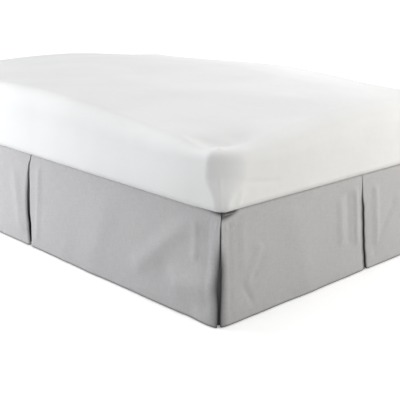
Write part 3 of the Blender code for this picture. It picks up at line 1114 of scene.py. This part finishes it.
@dataclass(frozen=True)
class Foundation:
    """Box spring in ticking, with a piped edge round its top and its bottom."""

    bed: BedSize
    inset: float = 0.012
    height: float = 0.2286
    edge: float = 0.020
    edge_steps: int = 6
    corner: float = 0.045
    corner_steps: int = 10
    piping: float = 0.0028
    piping_sides: int = 8

    def levels(self) -> tuple[float, float]:
        """Heights of the underside and the top."""
        top = self.bed.top - self.bed.cloth / 2.0 - self.bed.gap
        return top - self.height, top

    def half_sizes(self) -> tuple[float, float]:
        """Half of the width and half of the length."""
        return self.bed.wall_x - self.inset, self.bed.wall_y - self.inset

    def box(self, shop: Workshop, ticking: bpy.types.Material,
            dust_cover: bpy.types.Material) -> bpy.types.Object:
        """Makes the box with a dust cover under it.

        Args:
            shop: Workshop that makes the piece.
            ticking: Finish of the sides and the top.
            dust_cover: Finish of the underside.

        Returns:
            The box.
        """
        bottom, top = self.levels()
        half_x, half_y = self.half_sizes()
        mesh = bmesh.new()
        bmesh.ops.create_cube(mesh, size=2.0)
        bmesh.ops.scale(mesh, vec=(half_x, half_y, self.height / 2.0), verts=mesh.verts)
        bmesh.ops.translate(mesh, vec=(0.0, 0.0, (top + bottom) / 2.0), verts=mesh.verts)
        upright = [edge for edge in mesh.edges if edge_extent(edge, 2) > self.edge]
        bmesh.ops.bevel(mesh, geom=upright, offset=self.corner, segments=self.corner_steps,
                        affect="EDGES", profile=0.5, material=-1)
        rims = [edge for edge in mesh.edges if edge_extent(edge, 2) < self.edge]
        bmesh.ops.bevel(mesh, geom=rims, offset=self.edge, segments=self.edge_steps,
                        affect="EDGES", profile=0.5, material=-1)
        mesh.normal_update()
        for face in mesh.faces:
            face.material_index = 1 if face.normal.z < FACES_DOWN else 0
        item = shop.piece("box_spring", mesh, [ticking, dust_cover])
        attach(item, BODY)
        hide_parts("foundation")
        return item

    def outline(self, level: float) -> list[Point]:
        """Closed line round the box's sides at one height.

        Args:
            level: Height of the line.

        Returns:
            Points of the line.
        """
        half_x, half_y = self.half_sizes()
        points = []
        for quarter, (way_x, way_y) in enumerate(((1, 1), (-1, 1), (-1, -1), (1, -1))):
            centre_x, centre_y = way_x * (half_x - self.corner), way_y * (half_y - self.corner)
            for step in range(self.corner_steps + 1):
                angle = math.pi / 2.0 * (quarter + step / self.corner_steps)
                x, y = centre_x + self.corner * math.cos(angle), centre_y + self.corner * math.sin(angle)
                points.append((x, y, level))
        return points

    def pipe(self, shop: Workshop, name: str, level: float, finish: bpy.types.Material) -> bpy.types.Object:
        """Makes one piped edge as a closed round tube.

        Args:
            shop: Workshop that makes the piece.
            name: Name of the piece.
            level: Height of the piping.
            finish: Cloth of the piping.

        Returns:
            The piping.
        """
        line = [Vector(point) for point in self.outline(level)]
        mesh = bmesh.new()
        rings = []
        for number, point in enumerate(line):
            before, after = line[number - 1], line[(number + 1) % len(line)]
            outward = (after - before).normalized().cross(UP)
            ring = bmesh.ops.create_circle(mesh, segments=self.piping_sides, radius=self.piping)["verts"]
            turn = Matrix((outward, UP, outward.cross(UP))).transposed()
            bmesh.ops.transform(mesh, matrix=Matrix.Translation(point) @ turn.to_4x4(), verts=ring)
            rings.append(ring)
        for first, second in zip(rings, rings[1:] + rings[:1]):
            # Only the rings' own edges: a vertex also has those that lead to the ring before it
            edges = {edge for ring in (first, second) for vertex in ring for edge in vertex.link_edges
                     if edge.other_vert(vertex) in ring}
            bmesh.ops.bridge_loops(mesh, edges=list(edges))
        bmesh.ops.recalc_face_normals(mesh, faces=mesh.faces[:])
        item = shop.piece(name, mesh, [finish])
        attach(item, BODY)
        return item

    def build(self, shop: Workshop, ticking: bpy.types.Material, dust_cover: bpy.types.Material) -> None:
        """Makes the box and its piping.

        Args:
            shop: Workshop that makes the pieces.
            ticking: Finish of the box and its piping.
            dust_cover: Finish of the underside.
        """
        bottom, top = self.levels()
        log.info("%s made", self.box(shop, ticking, dust_cover).name)
        for name, level in (("upper_piping", top - self.edge), ("lower_piping", bottom + self.edge)):
            log.info("%s made", self.pipe(shop, name, level, ticking).name)


@dataclass(frozen=True)
class Legs:
    """Tapered plastic legs, each with a flange above and a glide on the floor."""

    bed: BedSize
    foundation: Foundation
    top_radius: float = 0.030
    foot_radius: float = 0.022
    flange: float = 0.005
    flange_lip: float = 0.004
    glide: float = 0.006
    glide_inset: float = 0.003
    bevel: float = 0.001
    place_x: float = 0.680
    place_y: float = 0.930
    turns: int = 40
    sharp_angle: float = 50.0

    def places(self) -> list[tuple[float, float]]:
        """Plan positions of the corner legs, then of those on the centre line."""
        corners = [(x, y) for y in (-self.place_y, self.place_y) for x in (-self.place_x, self.place_x)]
        return corners + [(0.0, y) for y in (-self.place_y, 0.0, self.place_y)]

    def profile(self) -> list[tuple[float, float]]:
        """Outline of a leg from the middle of its foot to the middle of its top.

        Returns:
            Radius and height of each point.
        """
        top = self.foundation.levels()[0] - self.bed.gap
        glide_radius = self.foot_radius - self.glide_inset
        bevel = self.bevel
        return [
            (0.0, 0.0),
            (glide_radius - bevel, 0.0),
            (glide_radius, bevel),
            (glide_radius, self.glide - bevel),
            (self.foot_radius - bevel, self.glide),
            (self.foot_radius, self.glide + bevel),
            (self.top_radius - self.flange_lip, top - self.flange - 2.0 * bevel),
            (self.top_radius - bevel, top - self.flange),
            (self.top_radius, top - self.flange + bevel),
            (self.top_radius, top - bevel),
            (self.top_radius - bevel, top),
            (0.0, top),
        ]

    def build(self, shop: Workshop, finish: bpy.types.Material) -> None:
        """Makes every leg.

        Args:
            shop: Workshop that makes the pieces.
            finish: Plastic of the legs.
        """
        for number, (x, y) in enumerate(self.places(), start=1):
            mesh = bmesh.new()
            corners = [mesh.verts.new((x + radius, y, height)) for radius, height in self.profile()]
            outline = [mesh.edges.new(pair) for pair in zip(corners, corners[1:])]
            bmesh.ops.spin(mesh, geom=corners + outline, cent=(x, y, 0.0), axis=(0.0, 0.0, 1.0),
                           angle=FULL_TURN, steps=self.turns, use_merge=True)
            bmesh.ops.remove_doubles(mesh, verts=mesh.verts[:], dist=MERGE_DISTANCE)
            bmesh.ops.recalc_face_normals(mesh, faces=mesh.faces[:])
            item = shop.piece(f"turned_leg_{number}", mesh, [finish])
            item.data.set_sharp_from_angle(angle=math.radians(self.sharp_angle))
            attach(item, BODY)
            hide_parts(f"leg_{number}")
        log.info("%d legs made", len(self.places()))


# Shader nodes


class NodeBench:
    """Adds and links the nodes of one material or node group."""

    def __init__(self, tree: bpy.types.NodeTree) -> None:
        """Keeps the node tree."""
        self.tree = tree

    def feed(self, node: bpy.types.Node, inputs: dict[str | int, object]) -> None:
        """Links or sets inputs of a node.

        Args:
            node: Node whose inputs are fed.
            inputs: Value or source socket of each named or numbered input.
        """
        for name, value in inputs.items():
            if isinstance(value, Socket):
                self.tree.links.new(value, node.inputs[name])
            else:
                node.inputs[name].default_value = value

    def add(self, kind: str, inputs: dict[str | int, object] | None = None,
            **settings: object) -> bpy.types.Node:
        """Adds a node.

        Args:
            kind: Type of the node.
            inputs: Value or source socket of each named or numbered input.
            settings: Properties of the node.

        Returns:
            The node.
        """
        node = self.tree.nodes.new(kind)
        for name, value in settings.items():
            setattr(node, name, value)
        self.feed(node, inputs or {})
        return node

    def effect(self, group: bpy.types.NodeTree, vector: Socket, **values: float) -> bpy.types.Node:
        """Places an effect that several finishes share.

        Args:
            group: Node group of the effect.
            vector: Source coordinates.
            values: This finish's own value of each named input.

        Returns:
            The group's node.
        """
        return self.add("ShaderNodeGroup", {"Vector": vector, **values}, node_tree=group)

    def place(self, kind: str) -> Socket:
        """Adds a Texture Coordinate node and gives its coordinates of one kind."""
        return self.add("ShaderNodeTexCoord").outputs[kind]

    def math(self, operation: str, first: Socket | float, second: Socket | float = 0.0) -> Socket:
        """Adds a Math node.

        Args:
            operation: Its operation.
            first: First value or source.
            second: Second value or source.

        Returns:
            Its output.
        """
        return self.add("ShaderNodeMath", {0: first, 1: second}, operation=operation).outputs[0]

    def stretch(self, vector: Socket, scale: Point) -> Socket:
        """Adds a Mapping node that only scales.

        Args:
            vector: Source coordinates.
            scale: Scale along each axis.

        Returns:
            The scaled coordinates.
        """
        return self.add("ShaderNodeMapping", {"Vector": vector, "Scale": scale}).outputs["Vector"]

    def noise(self, vector: Socket, scale: float, detail: float = 2.0, roughness: float = 0.5) -> Socket:
        """Adds a Noise Texture node.

        Args:
            vector: Source coordinates.
            scale: Scale of the noise.
            detail: Number of octaves.
            roughness: Weight of the finer octaves.

        Returns:
            Its value.
        """
        inputs = {"Vector": vector, "Scale": scale, "Detail": detail, "Roughness": roughness}
        return self.add("ShaderNodeTexNoise", inputs).outputs["Fac"]

    def spread(self, value: Socket, low: float, high: float, to_low: float = 0.0,
               to_high: float = 1.0) -> Socket:
        """Adds a smooth Map Range node.

        Args:
            value: Source value.
            low: Value that becomes to_low.
            high: Value that becomes to_high.
            to_low: Lowest result.
            to_high: Highest result.

        Returns:
            The result.
        """
        inputs = {"Value": value, 1: low, 2: high, 3: to_low, 4: to_high}
        return self.add("ShaderNodeMapRange", inputs, interpolation_type="SMOOTHSTEP").outputs[0]

    def blend(self, factor: Socket | float, first: object, second: object, kind: str = "MIX") -> Socket:
        """Adds a colour Mix node.

        Args:
            factor: Share of the second colour.
            first: First colour or source.
            second: Second colour or source.
            kind: Blend type.

        Returns:
            The mixed colour.
        """
        node = self.add("ShaderNodeMix", {0: factor, 6: first, 7: second}, data_type="RGBA", blend_type=kind)
        return node.outputs[2]

    def mix(self, factor: Socket | float, first: Socket | float, second: Socket | float) -> Socket:
        """Adds a value Mix node.

        Args:
            factor: Share of the second value.
            first: First value or source.
            second: Second value or source.

        Returns:
            The mixed value.
        """
        return self.add("ShaderNodeMix", {0: factor, 2: first, 3: second}, data_type="FLOAT").outputs[0]

    def ramp(self, value: Socket, to_low: float, to_high: float) -> Socket:
        """Adds a straight Map Range node for values from 0 to 1.

        Args:
            value: Source value.
            to_low: Result at 0.
            to_high: Result at 1.

        Returns:
            The result.
        """
        inputs = {0: value, 1: 0.0, 2: 1.0, 3: to_low, 4: to_high}
        return self.add("ShaderNodeMapRange", inputs).outputs[0]

    def from_middle(self, turn: Socket) -> Socket:
        """Distance of a share from one half."""
        return self.math("ABSOLUTE", self.math("SUBTRACT", turn, 0.5))

    def bump(self, height: Socket, distance: float, strength: float,
             normal: Socket | None = None) -> Socket:
        """Adds a Bump node.

        Args:
            height: Source height.
            distance: Depth of the relief in metres.
            strength: Strength of the relief.
            normal: Normal that it is added to.

        Returns:
            The bumped normal.
        """
        inputs = {"Height": height, "Distance": distance, "Strength": strength}
        if normal is not None:
            inputs["Normal"] = normal
        return self.add("ShaderNodeBump", inputs).outputs["Normal"]


class EffectGroups:
    """Shader node groups that several finishes share, each built once."""

    def __init__(self) -> None:
        """Builds the groups."""
        self.weave = self._weave()
        self.slub = self._slub()
        self.hem = self._hem()

    @staticmethod
    def _start(name: str, inputs: dict[str, tuple[str, float | None]],
               outputs: tuple[str, ...]) -> tuple[NodeBench, bpy.types.Node, bpy.types.Node]:
        """Starts a node group with its sockets.

        Args:
            name: Name of the group.
            inputs: Socket type and default of each input.
            outputs: Names of the value outputs.

        Returns:
            The group's bench, its input node and its output node.
        """
        group = bpy.data.node_groups.new(name, "ShaderNodeTree")
        for socket, (kind, default) in inputs.items():
            made = group.interface.new_socket(name=socket, in_out="INPUT", socket_type=kind)
            if default is not None:
                made.default_value = default
        for socket in outputs:
            group.interface.new_socket(name=socket, in_out="OUTPUT", socket_type="NodeSocketFloat")
        bench = NodeBench(group)
        return bench, bench.add("NodeGroupInput"), bench.add("NodeGroupOutput")

    def _weave(self) -> bpy.types.NodeTree:
        """Plain weave: threads that pass over and under each other.

        Returns:
            The group, with a height and a mask of the warp threads.
        """
        sizes = {
            "Vector": ("NodeSocketVector", None),
            "Warp": ("NodeSocketFloat", 900.0),
            "Weft": ("NodeSocketFloat", 900.0),
            "Unevenness": ("NodeSocketFloat", 0.3),
        }
        bench, source, result = self._start("plain_weave", sizes, ("Height", "Warp Mask"))
        wander = bench.noise(source.outputs["Vector"], 260.0, 1.0)
        shift = bench.math("MULTIPLY", bench.math("SUBTRACT", wander, 0.5), source.outputs["Unevenness"])
        parts = bench.add("ShaderNodeSeparateXYZ", {"Vector": source.outputs["Vector"]})
        turns = []
        for axis, count in (("X", "Warp"), ("Y", "Weft")):
            place = bench.math("MULTIPLY", parts.outputs[axis], source.outputs[count])
            turns.append(bench.math("MULTIPLY", bench.math("ADD", place, shift), math.pi))
        warp, weft = (bench.math("SINE", turn) for turn in turns)
        over = bench.math("MULTIPLY", warp, weft)
        mask = bench.spread(over, -0.25, 0.25)
        height = bench.mix(mask, bench.math("ABSOLUTE", weft), bench.math("ABSOLUTE", warp))
        bench.feed(result, {"Height": height, "Warp Mask": mask})
        return bench.tree

    def _slub(self) -> bpy.types.NodeTree:
        """Uneven yarn: thicker and lighter stretches along both thread directions.

        Returns:
            The group, with a tone about one half and a height.
        """
        sizes = {
            "Vector": ("NodeSocketVector", None),
            "Across": ("NodeSocketFloat", 800.0),
            "Along": ("NodeSocketFloat", 26.0),
        }
        bench, source, result = self._start("slub_yarn", sizes, ("Tone", "Height"))
        across, along = source.outputs["Across"], source.outputs["Along"]
        tones = []
        for first, second in ((across, along), (along, across)):
            scale = bench.add("ShaderNodeCombineXYZ", {"X": first, "Y": second, "Z": 1.0})
            place = bench.add("ShaderNodeVectorMath", {0: source.outputs["Vector"], 1: scale.outputs[0]},
                              operation="MULTIPLY")
            tones.append(bench.noise(place.outputs[0], 1.0, 2.0, 0.55))
        both = bench.math("MULTIPLY", bench.math("ADD", tones[0], tones[1]), 0.5)
        tone, height = bench.spread(both, 0.34, 0.66), bench.spread(both, 0.50, 0.72)
        bench.feed(result, {"Tone": tone, "Height": height})
        return bench.tree

    def _hem(self) -> bpy.types.NodeTree:
        """Sewn hem: a row of stitches and the ledge of the turned-up cloth.

        Returns:
            The group, with a mask of the stitches and a height.
        """
        sizes = {
            "Vector": ("NodeSocketVector", None),
            "Depth": ("NodeSocketFloat", 0.024),
            "Stitch": ("NodeSocketFloat", 0.0035),
        }
        bench, source, result = self._start("sewn_hem", sizes, ("Stitches", "Height"))
        parts = bench.add("ShaderNodeSeparateXYZ", {"Vector": source.outputs["Vector"]})
        above = bench.math("SUBTRACT", parts.outputs["Y"], source.outputs["Depth"])
        from_line = bench.math("ABSOLUTE", bench.math("ADD", above, 0.002))
        near_line = bench.spread(from_line, 0.0004, 0.0009, 1.0, 0.0)
        turn = bench.math("FRACT", bench.math("DIVIDE", parts.outputs["X"], source.outputs["Stitch"]))
        dash = bench.spread(bench.from_middle(turn), 0.30, 0.42, 1.0, 0.0)
        stitches = bench.math("MULTIPLY", near_line, dash)
        ledge = bench.spread(above, -0.0005, 0.0008, 1.0, 0.0)
        height = bench.math("SUBTRACT", ledge, bench.math("MULTIPLY", near_line, 0.5))
        bench.feed(result, {"Stitches": stitches, "Height": height})
        return bench.tree


# Finishes


def opaque(colour: Colour) -> tuple[float, float, float, float]:
    """Colour with full alpha."""
    return (*colour, 1.0)


def grey(tone: float) -> tuple[float, float, float, float]:
    """Neutral colour of one tone."""
    return opaque((tone, tone, tone))


@dataclass(frozen=True)
class LinenCloth:
    """Light grey heathered linen weave of the skirt."""

    name: str
    hemmed: bool
    light: Colour = (0.550, 0.543, 0.547)
    dark: Colour = (0.388, 0.383, 0.388)
    threads: float = 1100.0
    slub_share: float = 0.62
    warp_share: float = 0.22
    roughness: float = 0.88
    sheen: float = 0.12
    sheen_roughness: float = 0.45
    gloss: float = 0.25
    # Painted shade in folds: the attribute's values over which the colour darkens, and the darkest share
    fold_range: Range = (0.0025, 0.0140)
    fold_shade: float = 0.22
    # Painted shade along the bottom of a hemmed cloth: how high it reaches and the darkest share
    hem_shade_height: float = 0.008
    edge_shade: float = 0.50
    stitch_tone: float = 0.33
    stitch_share: float = 0.35

    def make(self, groups: EffectGroups) -> bpy.types.Material:
        """Builds the material.

        Args:
            groups: Shared node groups.

        Returns:
            The material.
        """
        material, bench, shader = new_finish(self.name)
        cloth = bench.place("UV")
        slub = bench.effect(groups.slub, cloth)
        weave = bench.effect(groups.weave, cloth, Warp=self.threads, Weft=self.threads)
        clouds = bench.spread(bench.noise(cloth, 7.0, 3.0), 0.3, 0.7, 0.42, 0.58)
        heather = bench.mix(self.slub_share, clouds, slub.outputs["Tone"])
        fleck = bench.mix(self.warp_share, heather, weave.outputs["Warp Mask"])
        colour = bench.blend(fleck, opaque(self.dark), opaque(self.light))
        # Painted shade in the hollows between the threads
        hollow = bench.spread(weave.outputs["Height"], 0.0, 0.45, 0.80, 1.0)
        colour = bench.blend(1.0, colour, hollow, "MULTIPLY")
        # Painted shade in the pleats, along curled edges, beside the corners and under the mattress's edge
        depth = bench.add("ShaderNodeAttribute", attribute_name=PAINTED_FOLD_SHADE).outputs["Fac"]
        shade = bench.spread(depth, *self.fold_range, 1.0, self.fold_shade)
        colour = bench.blend(1.0, colour, shade, "MULTIPLY")
        relief = bench.bump(weave.outputs["Height"], 0.00022, 0.8)
        relief = bench.bump(slub.outputs["Height"], 0.00025, 0.7, relief)
        if self.hemmed:
            hem = bench.effect(groups.hem, cloth)
            relief = bench.bump(hem.outputs["Height"], 0.00035, 0.6, relief)
            # Painted shade along the hem's bottom edge, darkest at the cloth's lowest edge
            up = bench.add("ShaderNodeSeparateXYZ", {"Vector": cloth}).outputs["Y"]
            edge = bench.spread(up, 0.0, self.hem_shade_height, self.edge_shade, 1.0)
            colour = bench.blend(1.0, colour, edge, "MULTIPLY")
            stitches = bench.math("MULTIPLY", hem.outputs["Stitches"], self.stitch_share)
            colour = bench.blend(stitches, colour, grey(self.stitch_tone))
        bench.feed(shader, {
            "Base Color": colour,
            "Normal": relief,
            "Roughness": self.roughness,
            "Sheen Weight": self.sheen,
            "Sheen Roughness": self.sheen_roughness,
            "Specular IOR Level": self.gloss,
        })
        return material


@dataclass(frozen=True)
class CottonSheeting:
    """White cotton sheeting of the mattress, smooth with faint rumples."""

    name: str = "white_cotton"
    light: Colour = (0.735, 0.735, 0.733)
    dark: Colour = (0.705, 0.705, 0.702)
    threads: float = 1500.0
    roughness: float = 0.80
    sheen: float = 0.08
    gloss: float = 0.25

    def make(self, groups: EffectGroups) -> bpy.types.Material:
        """Builds the material.

        Args:
            groups: Shared node groups.

        Returns:
            The material.
        """
        material, bench, shader = new_finish(self.name)
        place = bench.place("Object")
        weave = bench.effect(groups.weave, place, Warp=self.threads, Weft=self.threads)
        rumple = bench.noise(bench.stretch(place, (1.0, 1.0, 1.6)), 5.5, 3.0, 0.45)
        fine = bench.noise(place, 38.0, 2.0, 0.5)
        tone = bench.spread(bench.noise(place, 3.0, 2.0), 0.3, 0.7)
        colour = bench.blend(tone, opaque(self.dark), opaque(self.light))
        relief = bench.bump(rumple, 0.012, 0.35)
        relief = bench.bump(fine, 0.0012, 0.35, relief)
        relief = bench.bump(weave.outputs["Height"], 0.00008, 0.5, relief)
        bench.feed(shader, {
            "Base Color": colour,
            "Normal": relief,
            "Roughness": self.roughness,
            "Sheen Weight": self.sheen,
            "Specular IOR Level": self.gloss,
        })
        return material


@dataclass(frozen=True)
class StripedTicking:
    """Cream woven ticking of the box spring, with fine tone-on-tone stripes."""

    name: str = "cream_ticking"
    ground: Colour = (0.70, 0.67, 0.60)
    stripe: Colour = (0.62, 0.585, 0.50)
    cloud: Colour = (0.66, 0.62, 0.54)
    pitch: float = 0.018
    threads: float = 700.0
    roughness: float = 0.88
    sheen: float = 0.1

    def make(self, groups: EffectGroups) -> bpy.types.Material:
        """Builds the material.

        Args:
            groups: Shared node groups.

        Returns:
            The material.
        """
        material, bench, shader = new_finish(self.name)
        place = bench.place("Object")
        parts = bench.add("ShaderNodeSeparateXYZ", {"Vector": place})
        run = bench.math("ADD", parts.outputs["X"], parts.outputs["Y"])
        turn = bench.math("FRACT", bench.math("DIVIDE", run, self.pitch))
        line = bench.spread(bench.from_middle(turn), 0.10, 0.14, 1.0, 0.0)
        flat = bench.add("ShaderNodeCombineXYZ", {"X": run, "Y": parts.outputs["Z"], "Z": 0.0}).outputs[0]
        weave = bench.effect(groups.weave, flat, Warp=self.threads, Weft=self.threads)
        clouds = bench.spread(bench.noise(place, 9.0, 3.0), 0.3, 0.7, 0.0, 0.25)
        colour = bench.blend(line, opaque(self.ground), opaque(self.stripe))
        colour = bench.blend(clouds, colour, opaque(self.cloud))
        relief = bench.bump(bench.noise(place, 30.0, 2.0), 0.002, 0.4)
        relief = bench.bump(weave.outputs["Height"], 0.0003, 0.7, relief)
        bench.feed(shader, {
            "Base Color": colour,
            "Normal": relief,
            "Roughness": self.roughness,
            "Sheen Weight": self.sheen,
        })
        return material


@dataclass(frozen=True)
class DustCover:
    """Thin grey non-woven cover under the box spring."""

    name: str = "dust_cover"
    light: Colour = (0.30, 0.30, 0.31)
    dark: Colour = (0.20, 0.20, 0.21)
    roughness: float = 0.9

    def make(self) -> bpy.types.Material:
        """Builds the material.

        Returns:
            The material.
        """
        material, bench, shader = new_finish(self.name)
        place = bench.place("Object")
        fibres = bench.noise(place, 420.0, 4.0, 0.7)
        cells = bench.add("ShaderNodeTexVoronoi", {"Vector": place, "Scale": 320.0}).outputs["Distance"]
        colour = bench.blend(bench.spread(fibres, 0.3, 0.7), opaque(self.dark), opaque(self.light))
        relief = bench.bump(cells, 0.0003, 0.6)
        bench.feed(shader, {"Base Color": colour, "Normal": relief, "Roughness": self.roughness})
        return material


@dataclass(frozen=True)
class MouldedPlastic:
    """Black moulded plastic of the legs, with a fine grain and scuffs near the floor."""

    name: str = "leg_moulding"
    black: Colour = (0.028, 0.028, 0.030)
    scuff: Colour = (0.085, 0.083, 0.080)
    scuff_height: float = 0.035
    roughness: float = 0.46
    scuff_roughness: float = 0.72

    def make(self) -> bpy.types.Material:
        """Builds the material.

        Returns:
            The material.
        """
        material, bench, shader = new_finish(self.name)
        place = bench.place("Object")
        height = bench.add("ShaderNodeSeparateXYZ", {"Vector": place}).outputs["Z"]
        low = bench.spread(height, 0.0, self.scuff_height, 1.0, 0.0)
        streaks = bench.noise(bench.stretch(place, (60.0, 60.0, 260.0)), 1.0, 4.0, 0.7)
        worn = bench.math("MULTIPLY", low, bench.spread(streaks, 0.52, 0.62))
        grain = bench.noise(place, 900.0, 2.0, 0.6)
        colour = bench.blend(worn, opaque(self.black), opaque(self.scuff))
        rough = bench.ramp(worn, self.roughness, self.scuff_roughness)
        relief = bench.bump(grain, 0.0001, 0.5)
        bench.feed(shader, {"Base Color": colour, "Normal": relief, "Roughness": rough})
        return material


def new_finish(name: str) -> tuple[bpy.types.Material, NodeBench, bpy.types.Node]:
    """Starts a material with its Principled shader.

    Args:
        name: Name of the material.

    Returns:
        The material, a bench for its nodes, and its shader.
    """
    material = bpy.data.materials.new(name)
    material.use_nodes = True
    return material, NodeBench(material.node_tree), material.node_tree.nodes["Principled BSDF"]


# Floor, light and camera


@dataclass(frozen=True)
class PanelLight:
    """Square soft light: its place, the point that it faces, its size, watts, beam and colour."""

    name: str
    place: Point
    aim: Point
    size: float
    power: float
    beam: float
    colour: Colour

    def build(self) -> None:
        """Stands the light beside the bed, out of the camera's sight."""
        lamp = bpy.data.lights.new(self.name, "AREA")
        lamp.size = self.size
        lamp.energy = self.power
        lamp.color = self.colour
        lamp.spread = math.radians(self.beam)
        item = bpy.data.objects.new(self.name, lamp)
        item.location = self.place
        item.rotation_euler = (Vector(self.place) - Vector(self.aim)).to_track_quat("Z", "Y").to_euler()
        item.visible_camera = False
        bpy.context.scene.collection.objects.link(item)


COOL_LIGHT = (0.970, 0.980, 1.0)
WARM_LIGHT = (1.0, 0.980, 0.930)
PANEL_LIGHTS = (
    PanelLight("left_back_light", (-3.0, 2.4, 0.5), (-0.76, 0.7, 0.3), 0.9, 38.0, 110.0, COOL_LIGHT),
    PanelLight("left_front_light", (-4.0, -0.5, 1.3), (-0.76, 0.0, 0.3), 2.0, 14.5, 150.0, COOL_LIGHT),
    PanelLight("foot_right_light", (2.5, -3.0, 1.2), (0.5, -1.0, 0.3), 1.2, 41.0, 150.0, WARM_LIGHT),
    PanelLight("foot_front_light", (0.0, -4.2, 1.3), (0.0, -1.0, 0.3), 2.0, 27.0, 150.0, WARM_LIGHT),
    PanelLight("right_back_light", (1.9, 0.7, 1.1), (0.2, 0.2, 0.6), 0.8, 7.5, 150.0, COOL_LIGHT),
)


@dataclass(frozen=True)
class Studio:
    """Plain pale floor, white surroundings and soft lights."""

    floor_size: float = 60.0
    floor_squares: int = 8
    floor_tone: float = 0.92
    floor_shade: float = 0.995
    floor_bounce: float = 0.52
    floor_glow: float = 0.25
    floor_roughness: float = 0.9
    zenith: float = 0.84
    horizon: float = 0.0
    backdrop: float = 1.1
    sun: float = 1.49
    sun_tilt: float = 38.0
    sun_turn: float = 95.0
    sun_softness: float = 45.0
    sky_colour: Colour = (0.985, 0.992, 1.0)

    def floor(self, shop: Workshop) -> None:
        """Lays the floor, which is not part of the object.

        Args:
            shop: Workshop that makes the piece.
        """
        material, bench, shader = new_finish("pale_floor")
        tone = bench.spread(bench.noise(bench.place("Object"), 0.8, 2.0), 0.3, 0.7)
        seen = bench.blend(tone, grey(self.floor_tone), grey(self.floor_tone * self.floor_shade))
        straight = bench.add("ShaderNodeLightPath").outputs["Is Camera Ray"]
        bench.feed(shader, {
            "Base Color": bench.blend(straight, grey(self.floor_bounce), seen),
            "Emission Color": grey(1.0),
            "Emission Strength": bench.math("MULTIPLY", straight, self.floor_glow),
            "Roughness": self.floor_roughness,
            "Specular IOR Level": 0.0,
        })
        mesh = bmesh.new()
        squares = self.floor_squares
        bmesh.ops.create_grid(mesh, x_segments=squares, y_segments=squares, size=self.floor_size / 2.0)
        shop.piece("studio_floor", mesh, [material])

    def surroundings(self) -> None:
        """Lights the scene evenly from a pale world that looks white to the camera."""
        world = bpy.data.worlds.new("studio")
        world.use_nodes = True
        bpy.context.scene.world = world
        bench = NodeBench(world.node_tree)
        seen = bench.add("ShaderNodeLightPath").outputs["Is Camera Ray"]
        way = bench.place("Generated")
        rise = bench.add("ShaderNodeSeparateXYZ", {"Vector": way}).outputs["Z"]
        strength = bench.mix(seen, bench.ramp(rise, self.horizon, self.zenith), self.backdrop)
        background = world.node_tree.nodes["Background"]
        bench.feed(background, {"Color": opaque(self.sky_colour), "Strength": strength})

    def high_light(self) -> None:
        """Hangs the large soft light high above the bed, a little to the left of its head."""
        lamp = bpy.data.lights.new("high_light", "SUN")
        lamp.energy = self.sun
        lamp.angle = math.radians(self.sun_softness)
        item = bpy.data.objects.new("high_light", lamp)
        tilt, turn = math.radians(self.sun_tilt), math.radians(self.sun_turn)
        place = Vector((-math.sin(tilt) * math.cos(turn), math.sin(tilt) * math.sin(turn), math.cos(tilt)))
        item.rotation_euler = place.to_track_quat("Z", "Y").to_euler()
        bpy.context.scene.collection.objects.link(item)

    def build(self, shop: Workshop) -> None:
        """Sets up the floor, the surroundings and the lights.

        Args:
            shop: Workshop that makes the floor.
        """
        self.floor(shop)
        self.surroundings()
        self.high_light()
        for light in PANEL_LIGHTS:
            light.build()
        log.info("%d panel lights stand round the bed", len(PANEL_LIGHTS))
        bpy.context.scene.view_settings.view_transform = "Standard"


@dataclass(frozen=True)
class PhotoCamera:
    """Camera at the photograph's place beside the near foot corner."""

    place: Point = (-2.5020, -2.6753, 1.1215)
    heading: float = 45.19
    pitch: float = -16.38
    roll: float = 1.30
    focal_pixels: float = 836.4
    image_pixels: float = 400.0
    sensor: float = 36.0

    def build(self) -> None:
        """Makes the camera and sets it as the scene's."""
        camera = bpy.data.cameras.new("photo_camera")
        camera.sensor_width = self.sensor
        camera.lens = self.focal_pixels * self.sensor / self.image_pixels
        item = bpy.data.objects.new("photo_camera", camera)
        heading, pitch, roll = (math.radians(angle) for angle in (self.heading, self.pitch, self.roll))
        reach = math.cos(pitch)
        ahead = Vector((reach * math.cos(heading), reach * math.sin(heading), math.sin(pitch)))
        level = Vector((math.sin(heading), -math.cos(heading), 0.0))
        up = level.cross(ahead)
        right = math.cos(roll) * level + math.sin(roll) * up
        up = math.cos(roll) * up - math.sin(roll) * level
        turn = Matrix((right, up, -ahead)).transposed().to_4x4()
        item.matrix_world = Matrix.Translation(self.place) @ turn
        bpy.context.scene.collection.objects.link(item)
        bpy.context.scene.camera = item


def main() -> None:
    """Builds the camera, the bed, its skirt and the studio."""
    logging.basicConfig(level=logging.INFO, format="%(name)s: %(message)s")
    PhotoCamera().build()
    shop = Workshop("bed_skirt")
    groups = EffectGroups()
    bed = BedSize.from_frame()
    foundation = Foundation(bed)
    hemmed = LinenCloth("hemmed_linen", hemmed=True).make(groups)
    plain = LinenCloth("plain_linen", hemmed=False).make(groups)
    Skirt(bed).build(shop, hemmed, plain)
    log.info("%s made", Mattress(bed).build(shop, CottonSheeting().make(groups)).name)
    foundation.build(shop, StripedTicking().make(groups), DustCover().make())
    Legs(bed, foundation).build(shop, MouldedPlastic().make())
    Studio().build(shop)


if __name__ == "__main__":
    main()
